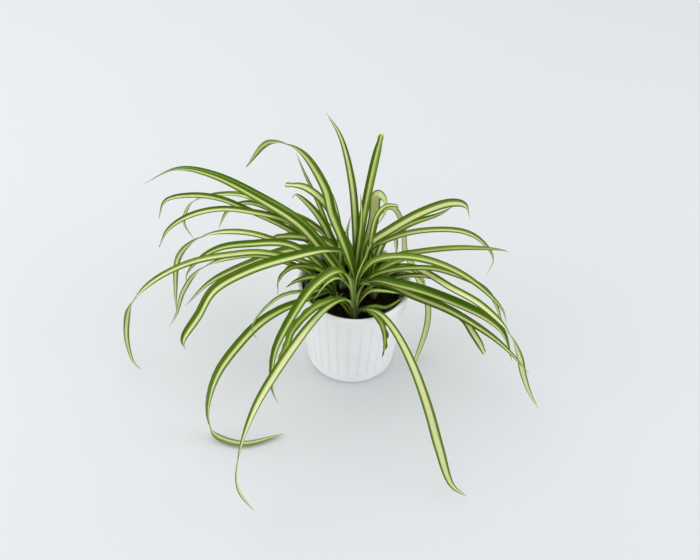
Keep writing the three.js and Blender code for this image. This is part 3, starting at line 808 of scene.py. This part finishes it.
SHOOTS["shoot_back_left"] = (-17, 15), [
    leaf(161, (9, 0.3, 4, 0.2), -15, (-60, 0.55, 0.95), [(20, 148), (69, 175), (123, 188), (164, 194),
         (206, 186), (243, 165), (257, 128)], stripe=(0.3, 0.25, 0.2)),
    leaf(147, (9, 0.3, 5), -15, (60, 0.7, 0.95), [(6, 150), (18, 172), (48, 185), (110, 180),
         (158, 175), (219, 142), (251, 112), (265, 71, 2), (246, 52, 3)], stripe=(0.35, 0.25, 0.15),
         dry=0.015),
    leaf(168, (9.5, 0.3, 4, 0.2), -15, (-60, 0.55, 0.95), [(20, 155), (66, 195), (117, 200), (155, 195),
         (196, 175), (228, 144), (244, 109)], stripe=(0.3, 0.2, 0.2), dry=0.015),
    leaf(147, (8.5, 0.3, 5), -15, (-60, 0.6, 0.95), [(30, 145), (87, 171), (120, 174), (150, 166),
         (183, 136), (202, 96)], stripe=(0.3, 0.1, 0.3), dry=0.025),
    leaf(180, 9.5, -10, (100, 0.45, 0.75), [(25, 140), (95, 182), (136, 187), (173, 175), (201, 143),
         (211, 83), (213, 39)], stripe=(0.36, 0, 0.1)),
    leaf(190, (12.5, 0.3, 3), -15, 0, [(4, 135), (27, 167), (64, 173), (111, 156), (161, 129),
         (197, 88)], stripe=(0.34, 0.1, 0.2)),
    leaf(200, (13, 0.55, 9), 10, (-30, 0.2, 0.5), [(-7, 119, 4), (-8, 143, 8), (-3, 162, 10),
         (4, 173, 9), (18, 184, 15), (33, 191, 19), (69, 189, 18), (116, 181, 17), (161, 158, 15),
         (183, 120, 15), (205, 79, 13), (203, 62, 13)], stripe=(0.3, 0.22, 0.15)),
    leaf(170, (12, 0.3, 5), -30, 0, [(2, 146), (15, 173), (46, 177), (77, 172), (98, 161)],
         stripe=(0.3, 0.1, 0.3), wave=0.15),
    leaf(150, (10, 0.3, 9, 0.5), -25, -20, [(2, 150), (9, 204), (28, 230), (54, 240), (84, 231)],
         stripe=(0.42, 0, 0.2)),
    leaf(145, (11, 0.3, 5), -20, 20, [(3, 140), (17, 173), (42, 204), (73, 216), (79, 206)],
         stripe=(0.35, 0.1, 0.5)),
    leaf(120, 6, 0, 0, [(3, 150), (7, 194), (28, 230), (44, 237)]),
]
SHOOTS["shoot_back"] = (3, 27), [
    leaf(120, (11.5, 0.3, 3), 0, 0, [(4, 120), (12, 190), (27, 248), (56, 290), (95, 302)],
         stripe=(0.35, 0, 0.25), dry=0.015),
    leaf(68, (11.5, 0.3, 14, 0.5), 0, 0, [(-5, 137), (3, 172), (17, 222), (34, 263), (53, 299)],
         stripe=(0.26, 0, 0.4)),
    leaf(140, (9, 0.25, 2.5), 0, 0, [(20, 128), (43, 148), (69, 191), (97, 232), (108, 251)],
         stripe=(0.3, 0, 0.8)),
    leaf(130, 7, 0, 0, [(5, 140, 6), (8, 185, 14), (11, 210, 6)]),
    leaf(65, (14.5, 0.3, 6), 0, 20, [(13, 130, -2), (32, 185, -4), (39, 219, -3), (44, 212, -9),
         (41, 196, -13), (27, 180, -10)], stripe=(0.7, 0, 0.4)),
    leaf(80, 6, 0, 0, [(-6, 140), (-15, 228, -4), (-10, 256)]),
    leaf(92, 11, 0, 10, [(10, 125), (40, 147), (85, 145), (120, 110), (138, 55)]),
    leaf(114, 9, 10, 20, [(8, 120), (36, 140), (75, 137), (106, 104), (118, 60)]),
]
SHOOTS["shoot_back_right"] = (20, 20), [
    leaf(30, (12.5, 0.5, 5, 0.25), 15, 30, [(-6, 130), (-4, 176), (23, 189), (64, 201), (107, 202),
         (131, 190), (142, 165)], stripe=(0.38, -0.2, 0.3)),
    leaf(35, (10, 0.3, 4), 15, 0, [(-6, 125), (-4, 168), (25, 177), (54, 183), (100, 180), (123, 184)],
         stripe=(0.2, 0, 0.7)),
    leaf(18, (8.5, 0.3, 7, 0.3), 15, 20, [(-6, 130), (-4, 165), (22, 179), (60, 184), (114, 173),
         (143, 152), (167, 112), (161, 86)], stripe=(0.3, -0.15, 0.3)),
    leaf(6, (9, 0.3, 4), 15, 0, [(8, 125), (29, 153), (59, 161), (108, 166), (159, 162), (172, 158)],
         stripe=(0.25, -0.1, 0.8), dry=0.015),
    leaf(50, (8.5, 0.3, 12, 0.5), 0, 60, [(27, 140, 26), (50, 180, 30), (59, 187, 21), (63, 172, 9),
         (61, 152, 0), (57, 133, -7), (61, 108, -21), (61, 64, -50), (51, 36, -60), (28, 16, -69),
         (2, 6, -78)], stripe=(0.7, 0, 0.35)),
    leaf(58, 6.5, 0, 60, [(-2, 150), (-4, 193), (5, 218), (22, 220), (42, 210, -4), (55, 196),
         (50, 189, 2)]),
    leaf(72, 10, 0, 15, [(9, 118), (34, 138), (72, 134), (104, 98), (120, 50)]),
]
SHOOTS["shoot_right"] = (26, 1), [
    leaf(337, (12, 0.3, 5), 12, (-100, 0.5, 0.85), [(4, 125, 4), (14, 149, 10), (44, 162, 12),
         (66, 162, 9), (92, 159, 4), (133, 151, 1), (171, 127, -1), (192, 92), (203, 62, -1),
         (217, 34, -2), (233, 12, -2)], stripe=(0.5, -0.05, 0.1)),
    leaf(350, 8, 12, 10, [(8, 126), (33, 147), (70, 153, 1), (93, 141), (132, 123), (160, 96)],
         stripe=(0.35, -0.1, 0.3)),
    leaf(5, 8, 10, 30, [(6, 128), (23, 144, 3), (42, 143, 4), (60, 131), (63, 122)]),
    leaf(15, 11, 12, 0, [(-6, 122), (2, 145), (19, 157), (42, 163)], stripe=(0.25, 0, 0.5)),
]

print(sum(len(leaves) for _, leaves in SHOOTS.values()), "leaves on", len(SHOOTS), "crowns")

# %% [markdown]
# ## From places to midribs
# A smooth curve is laid through every listed place. Each stretch of it is a cubic whose ends lean the
# way their neighbours lie, weighted by distance so that close places make no loops. It is measured off
# in equal steps, and a sideways direction is carried along it from step to step without spinning, then
# turned by the leaf's roll and twist: that is the direction in which the blade will spread. The short
# sheaths that wrap each crown are midribs of the same kind, set round it by the golden angle.

# %% A curve through the places of a leaf
STATIONS = 90
FINE_STEPS = 40


def smoothstep(value, low, high):
    share = min(1.0, max(0.0, (value - low) / (high - low)))
    return share * share * (3 - 2 * share)


def span(before, start, end, after):
    """Points of one stretch of the curve, from start up to, not including, end."""
    first = np.linalg.norm(start - before) ** 0.5
    middle = np.linalg.norm(end - start) ** 0.5
    last = np.linalg.norm(after - end) ** 0.5
    leaving = (start - before) / first - (end - before) / (first + middle) + (end - start) / middle
    arriving = (end - start) / middle - (after - start) / (middle + last) + (after - end) / last
    leaving, arriving = leaving * middle, arriving * middle
    t = np.arange(FINE_STEPS)[:, None] / FINE_STEPS
    cubic = 2 * start - 2 * end + leaving + arriving
    square = 3 * end - 3 * start - 2 * leaving - arriving
    return start + leaving * t + square * t ** 2 + cubic * t ** 3


def midrib(at, row):
    """Evenly spaced places along the midrib in metres, and the way the blade spreads at each."""
    heading = math.radians(row["heading"])
    out = np.array((math.cos(heading), math.sin(heading), 0))
    left = np.array((-out[1], out[0], 0))
    points = []
    for reach, height, *sideways in [row["root"]] + row["places"]:
        points.append(np.array((*at, height)) + out * reach + left * (sideways[0] if sideways else 0))
    ends = [2 * points[0] - points[1]] + points + [2 * points[-1] - points[-2]]
    spans = [span(*ends[k:k + 4]) for k in range(len(points) - 1)]
    fine = np.concatenate(spans + [points[-1][None]]) * MM
    steps = np.linalg.norm(np.diff(fine, axis=0), axis=1)
    travelled = np.concatenate(([0], np.cumsum(steps)))
    wanted = np.linspace(0, travelled[-1], STATIONS + 1)
    places = np.stack([np.interp(wanted, travelled, fine[:, axis]) for axis in range(3)], axis=1)
    ahead = np.gradient(places, axis=0)
    ahead /= np.linalg.norm(ahead, axis=1)[:, None]
    side, spread = left, []
    twist, start, end = row["twist"]
    for number, along in enumerate(ahead):
        side = side - side.dot(along) * along
        side /= np.linalg.norm(side)
        turn = math.radians(row["roll"] + twist * smoothstep(number / STATIONS, start, end))
        spread.append(side * math.cos(turn) + np.cross(along, side) * math.sin(turn))
    return places, np.array(spread), wanted


lengths = [midrib(at, row)[2][-1] / MM for at, leaves in SHOOTS.values() for row in leaves]
print("leaves are", round(min(lengths)), "to", round(max(lengths)), "mm long")

# %% Sheaths round each crown
SHEATHS = 3
GOLDEN_ANGLE = 137.5
SHEATH_OUTLINE = (10, 0.1, 1.4, 0.02)
SHEATH_ROOT = (3.0, 94)


def sheath(number):
    """A short pale leaf base that clasps the crown, one of a spiral of them."""
    places = [(3.4, 103), (4.4, 109), (8.0, 117 + number * 5)]
    row = leaf(number * GOLDEN_ANGLE, SHEATH_OUTLINE, 0, 0, places)
    return row | {"sheath": 1.0, "root": SHEATH_ROOT}


# %% Midribs as chains of edges
def midrib_mesh(name, at, leaves):
    """All midribs of a shoot as one mesh of edges, with the values that the blades are made from."""
    places, edges = [], []
    values = {"spread": [], "outline": [], "stripe": [], "finish": [], "along": [], "sheath": []}
    for row in leaves:
        spots, spread, along = midrib(at, row)
        first = len(places)
        places += spots.tolist()
        edges += [(first + k, first + k + 1) for k in range(STATIONS)]
        values["spread"] += spread.tolist()
        width, widest, taper, tip = row["outline"]
        values["outline"] += [(width * MM, widest, taper)] * (STATIONS + 1)
        values["stripe"] += [row["stripe"]] * (STATIONS + 1)
        values["finish"] += [(tip, row["dry"], row["wave"])] * (STATIONS + 1)
        values["along"] += along.tolist()
        values["sheath"] += [row["sheath"]] * (STATIONS + 1)
    mesh = bpy.data.meshes.new(name)
    mesh.from_pydata(places, edges, [])
    for label, numbers in values.items():
        kind, field = ("FLOAT", "value") if label in ("along", "sheath") else ("FLOAT_VECTOR", "vector")
        attribute = mesh.attributes.new(label, kind, "POINT")
        attribute.data.foreach_set(field, np.array(numbers, dtype=np.float32).ravel())
    return mesh


# %% [markdown]
# ## Blades
# A spider plant's leaf is a gutter near the crown, where it clasps the next leaf, and opens into an
# almost flat strap. The tree lays one flat strip for each midrib and moves every point of it to its
# share of the midrib, out along the spread and up by the fold. It does that twice, for the upper and
# the under face, a leaf's thickness apart at the keel and together at the margins, so that the two
# close into one thin solid with a sharp margin.

# %% One flat strip for each midrib
BLADE_STEPS_ALONG = 100
BLADE_STEPS_ACROSS = 10


def flat_strips(tree, given, midribs):
    """A flat strip of faces for every midrib, with its number stored on it, and how many there are."""
    measure = tree.add("GeometryNodeAttributeDomainSize", {"component": "CURVE"}, {"Geometry": midribs})
    count = measure.also("Spline Count")
    flat = tree.add("GeometryNodeMeshGrid", inputs={
        "Size X": 1.0, "Size Y": 2.0,
        "Vertices X": given("Steps Along") + 1, "Vertices Y": given("Steps Across") + 1,
    })
    spots = tree.add("GeometryNodePoints", inputs={"Count": count})
    strips = tree.add("GeometryNodeInstanceOnPoints", inputs={"Points": spots, "Instance": flat})
    strips = store(tree, strips, "leaf", tree.add("GeometryNodeInputIndex"), "INT", "INSTANCE")
    return tree.add("GeometryNodeRealizeInstances", inputs={"Geometry": strips}), count


# %% Outline, section and thickness of a blade
TIP_STARTS = 0.9
BLUNT_TIPS_STAY = 3.2
END_CLOSES = 0.9
MARGINS_WAVE_OUT = 0.35
BASE_THICKENS = 60
TIP_THINS = 16


def half_width(tree, given, u, outline, tip):
    """It opens from the base, tapers, and closes in a point or a round end."""
    width, widest, taper = tree.split(outline)
    opening = tree.smooth(u, 0.0, widest, given("Base Width"), 1.0)
    past = tree.maths("MAXIMUM", (u - widest) / (1 - widest), 0.0)
    sharpened = tree.smooth(u, TIP_STARTS, 1.0) * given("Tip Sharpness") * (1 - tip * BLUNT_TIPS_STAY)
    narrowing = tree.maths("MAXIMUM", opening * (1 - past ** taper), tip * (1 - sharpened))
    last = tree.maths("MAXIMUM", (u - 1) / given("Round End") + 1, 0.0)
    narrowing = narrowing * tree.maths("SQRT", 1 - last * last * END_CLOSES)
    return width * 0.5 * narrowing


def section(tree, given, v, half, fold, wave, ripple):
    """How far a point of the blade lies aside of its midrib, and how far above it."""
    keel = given("Keel Softness")
    lowest = tree.maths("SQRT", v * v + keel * keel) - keel
    highest = tree.maths("SQRT", 1 + keel * keel) - keel
    rise = half * tree.maths("SINE", fold) * lowest / highest + half * wave * ripple * v * v
    aside = half * tree.maths("COSINE", fold) * v * (1 + ripple * wave * MARGINS_WAVE_OUT)
    return aside, rise


def half_thickness(tree, given, u, v):
    """A lens across the blade, thin toward both ends."""
    lens = tree.maths("SQRT", tree.maths("MAXIMUM", 1 - v * v, 0.0))
    ends = tree.maths("MINIMUM", u * BASE_THICKENS, (1 - u) * TIP_THINS)
    return given("Thickness") * 0.5 * lens * tree.maths("MINIMUM", ends, 1.0)


# %% A tree that sweeps blades
STRIP_FILL = 0.45
LEAF_PHASE = 2.4
MARGIN_PHASE = 1.2


def blade_tree():
    tree, given = geometry_tree("leaf_blades", {
        "Steps Along": BLADE_STEPS_ALONG, "Steps Across": BLADE_STEPS_ACROSS,
        "Thickness": 0.55 * MM, "Base Fold": math.radians(52), "Blade Fold": math.radians(18),
        "Unfolded At": 0.35, "Base Width": 0.62, "Tip Sharpness": 0.6, "Round End": 0.025,
        "Keel Softness": 0.06, "Wave Length": 17 * MM, "Seed": 11,
    })
    midribs = tree.add("GeometryNodeMeshToCurve", inputs={"Mesh": given("Geometry")})
    strips, count = flat_strips(tree, given, midribs)
    x, v, _ = tree.split(tree.add("GeometryNodeInputPosition"))
    u = x + 0.5
    number = named(tree, "leaf", "INT")

    def on_midrib(label, kind="FLOAT_VECTOR"):
        settings = {"mode": "FACTOR", "data_type": kind, "use_all_curves": False}
        return tree.add("GeometryNodeSampleCurve", settings, {
            "Curves": midribs, "Value": named(tree, label, kind), "Factor": u, "Curve Index": number,
        })

    spread = on_midrib("spread")
    middle, ahead = spread.also("Position"), spread.also("Tangent")
    upward = tree.maths("CROSS_PRODUCT", ahead, spread)
    stripe, lean, lime = tree.split(on_midrib("stripe"))
    tip, dry, wave = tree.split(on_midrib("finish"))
    along, sheath = on_midrib("along", "FLOAT"), on_midrib("sheath", "FLOAT")
    tone = tree.add("FunctionNodeRandomValue", {"data_type": "FLOAT"}, {
        2: 0.0, 3: 1.0, "ID": number, "Seed": given("Seed"),
    }, 1)

    half = half_width(tree, given, u, on_midrib("outline"), tip)
    fold = tree.smooth(u, 0.0, given("Unfolded At"), given("Base Fold"), given("Blade Fold"))
    fold = fold + (given("Base Fold") - fold) * sheath
    phase = along * TAU / given("Wave Length") + number * LEAF_PHASE + v * MARGIN_PHASE
    aside, rise = section(tree, given, v, half, fold, wave, tree.maths("SINE", phase))
    half_thick = half_thickness(tree, given, u, v)

    strips = store(tree, strips, "blade", tree.join(u, v * 0.5 + 0.5), "FLOAT2", "CORNER")
    looks = {"tone": tone, "stripe": stripe, "lean": lean, "lime": lime, "dry": dry, "sheath": sheath,
             "along": along}
    for label, look in looks.items():
        strips = store(tree, strips, label, look)
    at_margin = tree.maths("MAXIMUM", tree.maths("ABSOLUTE", v), tree.maths("ABSOLUTE", x * 2))
    strips = store(tree, strips, "at_margin", tree.maths("GREATER_THAN", at_margin, 0.999))

    def face(lift, row):
        """The upper or the under face of every strip, each in its own row of the bake map."""
        strip = (number * 2 + row + 0.5 + v * STRIP_FILL) / (count * 2)
        side = store(tree, strips, "OFBake", tree.join(inset(u), strip), "FLOAT2", "CORNER")
        side = store(tree, side, "under", float(row), "FLOAT", "FACE")
        place = middle + spread * aside + upward * (rise + half_thick * lift)
        return tree.add("GeometryNodeSetPosition", inputs={"Geometry": side, "Position": place})

    under = tree.add("GeometryNodeFlipFaces", inputs={"Mesh": face(-1.0, 1)})
    both = together(tree, under, face(1.0, 0))
    closed = tree.add("GeometryNodeMergeByDistance", inputs={"Geometry": both, "Distance": MERGE})
    smooth = tree.add("GeometryNodeSetShadeSmooth", inputs={"Geometry": closed})
    sharp = tree.add("GeometryNodeSetShadeSmooth", {"domain": "EDGE"}, {
        "Geometry": smooth, "Shade Smooth": False,
        "Selection": tree.add("FunctionNodeCompare", {"operation": "GREATER_THAN"}, {
            0: named(tree, "at_margin"), 1: 0.99,
        }),
    })
    return finish_tree(tree, sharp, given("Material"))


BLADES = blade_tree()
print("blade tree has", len(BLADES.nodes), "nodes")

# %% [markdown]
# ## Leaf colour
# In a spider plant the stripe is not printed on: cells without green run the whole length of the leaf,
# so the cream band is made of many fine parallel lines, and its border steps in and out by a line at
# a time. The pattern therefore lives in the blade's own coordinates, along and across, stretched
# a hundredfold along the leaf. Going out from the stripe the colour runs through one ramp, from cream
# by way of lime to dark green, and single paler and greener lines run through it.

# %% Lines that run along a leaf
def carried(tree, label):
    """A value that the blades carry under this name."""
    return tree.add("ShaderNodeAttribute", {"attribute_name": label}, output="Fac")


def streaks(tree, side, across_it, along_it, shift, layer, detail, roughness=0.5):
    """Noise drawn out along the leaf: how fine it is across and along, then how far tone moves it.

    Each leaf has a tone of its own, so each shows another part of the noise.
    """
    tone = carried(tree, "tone")
    spot = tree.join(side * across_it + tone * shift, carried(tree, "along") * along_it, tone * layer)
    return tree.noise(spot, 1, detail, roughness)


# %% The stripe and its lines
OUT_FROM_THE_STRIPE = [
    (0.00, (0.860, 0.815, 0.550, 1)),
    (0.45, (0.750, 0.730, 0.390, 1)),
    (0.50, (0.410, 0.490, 0.110, 1)),
    (0.56, (0.220, 0.330, 0.028, 1)),
    (0.68, (0.118, 0.218, 0.006, 1)),
    (0.92, (0.054, 0.128, 0.002, 1)),
]
LIME = (0.360, 0.460, 0.090, 1)
LINE_GREEN = (0.290, 0.420, 0.040, 1)
STRIPE_WANDERS = 0.10
BAND_DRIFTS = 0.08
BORDER_CONTRAST = 1.1
LINES_SHOW = 0.60
FINE_LINES_SHOW = 0.16
CROWN_LIME = 0.4
PALER_LINES = 0.46
GREENER_LINES = 0.30


def striped(tree, u, side, lines, fine_lines):
    """Cream by way of lime to green, with a border that steps line by line."""
    tone = carried(tree, "tone")
    off_stripe = tree.maths("ABSOLUTE", side - carried(tree, "lean") - (tone - 0.5) * STRIPE_WANDERS)
    drift = tree.noise(tree.join(carried(tree, "along") * 14, tone * 40), 1, 1)
    band = carried(tree, "stripe") * tree.smooth(u, 0.03, 0.45, 0.5, 1.0) + (drift - 0.5) * BAND_DRIFTS
    place = 0.5 + (off_stripe - band) * BORDER_CONTRAST
    place = place + (lines - 0.5) * LINES_SHOW + (fine_lines - 0.5) * FINE_LINES_SHOW
    colour = tree.add("ShaderNodeValToRGB", {"stops": OUT_FROM_THE_STRIPE}, {0: place})
    pale = 1 - tree.smooth(place, 0.46, 0.58)
    lime = carried(tree, "lime") + (1 - tree.smooth(u, 0.1, 0.5)) * CROWN_LIME
    colour = tree.mix(pale * tree.maths("MINIMUM", lime, 1.0), colour, LIME)
    paler = tree.smooth(streaks(tree, side, 3.4, 4, 70, 23, detail=0), 0.52, 0.58)
    colour = tree.mix((1 - pale) * paler * PALER_LINES, colour, LINE_GREEN)
    greener = tree.smooth(streaks(tree, side, 8, 5, 50, 13, detail=1), 0.54, 0.62)
    return tree.mix(pale * greener * GREENER_LINES, colour, LINE_GREEN)


# %% [markdown]
# ## Age, wear and painted light on a leaf
# The margins are the darkest green. A leaf pales toward the crown, where the others shade it. Its
# underside is paler, partly as a real leaf's is and partly as painted light standing for light that
# comes through the blade. Its foot is darkened as painted shade where it enters the soil. Where the
# tip has dried, tan eats its way down line by line and ends in a brown point. Each of these is a mask
# with a colour of its own, mixed over what is there already.

# %% Margin, foot, underside and dry tip
MARGIN_GREEN = (0.040, 0.096, 0.001, 1)
LEAF_BASE = (0.320, 0.420, 0.180, 1)
SHEATH_PALE = (0.500, 0.580, 0.330, 1)
# A real underside is paler; this colour is also painted light, standing for light that comes through the
# blade.
UNDERSIDE_PALE_AND_LIT = (0.560, 0.680, 0.330, 1)
# Painted shade: the dark colour given to the foot of each leaf where it enters the soil.
PAINTED_FOOT_SHADE = (0.045, 0.050, 0.018, 1)
DRY_TAN = (0.400, 0.240, 0.080, 1)
DRY_BROWN = (0.030, 0.016, 0.010, 1)
FOOT_SHADE_FROM = 8 * MM
FOOT_SHADE_TO = 14 * MM


def worn(tree, colour, u, side, fine_lines):
    """The margin, the paler parts of a leaf, a painted lighter underside and painted shade at its foot.
    """
    off_keel = tree.maths("ABSOLUTE", side) + (fine_lines - 0.5) * FINE_LINES_SHOW
    margin = tree.smooth(off_keel, 0.70, 0.84)
    near_crown = 1 - tree.smooth(u, 0.01, 0.14)
    # Painted shade over the first millimetres of each leaf, from the soil up.
    foot_shade = 1 - tree.smooth(carried(tree, "along"), FOOT_SHADE_FROM, FOOT_SHADE_TO)
    masks = [
        (margin * 0.85 * tree.smooth(u, 0.05, 0.3), MARGIN_GREEN),
        (near_crown * 0.5, LEAF_BASE),
        (carried(tree, "sheath") * 0.85, SHEATH_PALE),
        # Partly painted light: the underside is paler, and lightened further for light coming through
        # the blade.
        (carried(tree, "under") * 0.14, UNDERSIDE_PALE_AND_LIT),
        (foot_shade * 0.85, PAINTED_FOOT_SHADE),
    ]
    for share, paint in masks:
        colour = tree.mix(share, colour, paint)
    return colour


def dried(tree, colour, u, lines):
    """A dry tip, tan and then brown. Gives the colour and where it is dry."""
    dry = carried(tree, "dry")
    reach = 1 - dry * (1 + (lines - 0.5) * 0.8)
    tan = tree.smooth(u, reach - dry * 0.4 - 0.004, reach) * tree.smooth(dry, 0.001, 0.01)
    brown = tree.smooth(u, reach - dry * 0.1, reach + dry * 0.3) * tan
    return tree.mix(brown, tree.mix(tan, colour, DRY_TAN), DRY_BROWN), tan


# %% Striped leaf
def leaf_material():
    material, tree, surface = new_material("striped_leaf")
    u, across, _ = tree.split(tree.add("ShaderNodeUVMap", {"uv_map": "blade"}))
    side = across * 2 - 1
    lines = streaks(tree, side, 3, 4, 60, 31, detail=3, roughness=0.7)
    fine_lines = streaks(tree, side, 11, 7, 90, 17, detail=2, roughness=0.6)
    veins = streaks(tree, side, 30, 4, 0, 9, detail=1)
    colour = striped(tree, u, side, lines, fine_lines)
    colour = worn(tree, colour, u, side, fine_lines)
    colour, tan = dried(tree, colour, u, lines)
    roughness = 0.40 + carried(tree, "under") * 0.12 + tan * 0.25 + (lines - 0.5) * 0.10
    normal = bump(tree, veins, strength=0.25, distance=0.25 * MM)
    feed(tree, surface, base_color=colour, roughness=roughness, normal=normal)
    settle(surface, {
        "Specular IOR Level": 0.12, "Subsurface Weight": 0.5,
        "Subsurface Radius": (0.8, 1.0, 0.4), "Subsurface Scale": 0.7 * MM,
    })
    return material


LEAF = leaf_material()
print("leaf material has", len(LEAF.node_tree.nodes), "nodes")

# %% [markdown]
# ## Grow the shoots
# A shoot is one crown with its leaves and the short pale sheaths that clasp it at the soil. It grew as
# one piece, so it is one piece here too, and because the seven differ only in their rows of the list,
# one loop runs the same tree for each of them.

# %% Seven shoots
for node, (at, leaves) in SHOOTS.items():
    rows = leaves + [sheath(number) for number in range(SHEATHS)]
    name = node.replace("shoot", "leaves")
    shoot = grown(name, midrib_mesh(name, at, rows), BLADES, material=LEAF)
    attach(shoot, "root")
    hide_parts(node)
    print(name, len(leaves), "leaves,", triangles(shoot), "triangles")

# %% [markdown]
# ## Floor
# The photo's light comes partly from below, because a pale floor throws it back up under the leaves.

# %% Pale floor
FLOOR_SIZE = 9
FLOOR_COLOUR = (0.70, 0.715, 0.73, 1)


def floor_material():
    material, tree, surface = new_material("pale_floor")
    clouds = tree.noise(tree.add("ShaderNodeTexCoord").also("Object"), scale=3, detail=2)
    feed(tree, surface, roughness=0.55 + clouds * 0.1)
    settle(surface, {"Base Color": FLOOR_COLOUR})
    return material


def wide_floor():
    mesh = bpy.data.meshes.new("floor")
    half = FLOOR_SIZE / 2
    corners = [(-half, -half, 0), (half, -half, 0), (half, half, 0), (-half, half, 0)]
    mesh.from_pydata(corners, [], [(0, 1, 2, 3)])
    mesh.materials.append(floor_material())
    floor = bpy.data.objects.new("floor", mesh)
    bpy.context.collection.objects.link(floor)
    return floor


floor = wide_floor()
print("floor", FLOOR_SIZE, "m wide")

# %% [markdown]
# ## Light
# The photo is evenly lit by a bright room, so a pale world gives most of the light. Three round lamps
# shape it: a large soft one behind and to the left, as a window would be, gives the leaves their sheen,
# and two low ones at the sides light the pot's flanks and the undersides of the leaves.

# %% Lamps and bright room
LAMPS = [
    ("window", (-0.8, 0.9, 2.1), 2.2, 14, (1.0, 0.99, 0.97)),
    ("left_lamp", (-1.9, -0.5, 0.8), 1.6, 11, (1.0, 0.995, 0.985)),
    ("right_lamp", (1.9, -0.3, 0.8), 1.6, 11, (0.97, 0.985, 1.0)),
]
ROOM_COLOUR = (0.97, 0.98, 1.0, 1)
ROOM_STRENGTH = 0.84


def lamp(name, place, size, power, colour):
    """A round lamp that faces the plant: its place and size in metres, its power in watts."""
    data = bpy.data.lights.new(name, "AREA")
    data.shape = "DISK"
    data.size = size
    data.energy = power
    data.color = colour
    light = bpy.data.objects.new(name, data)
    light.location = place
    light.rotation_euler = (AIM - Vector(place)).to_track_quat("-Z", "Y").to_euler()
    bpy.context.collection.objects.link(light)


def bright_room():
    world = bpy.data.worlds.new("bright_room")
    world.use_nodes = True
    background = world.node_tree.nodes["Background"]
    background.inputs["Color"].default_value = ROOM_COLOUR
    background.inputs["Strength"].default_value = ROOM_STRENGTH
    bpy.context.scene.world = world


for row in LAMPS:
    lamp(*row)
bright_room()
bpy.context.scene.view_settings.view_transform = "Standard"
print(len(LAMPS), "lamps in a room of strength", ROOM_STRENGTH)
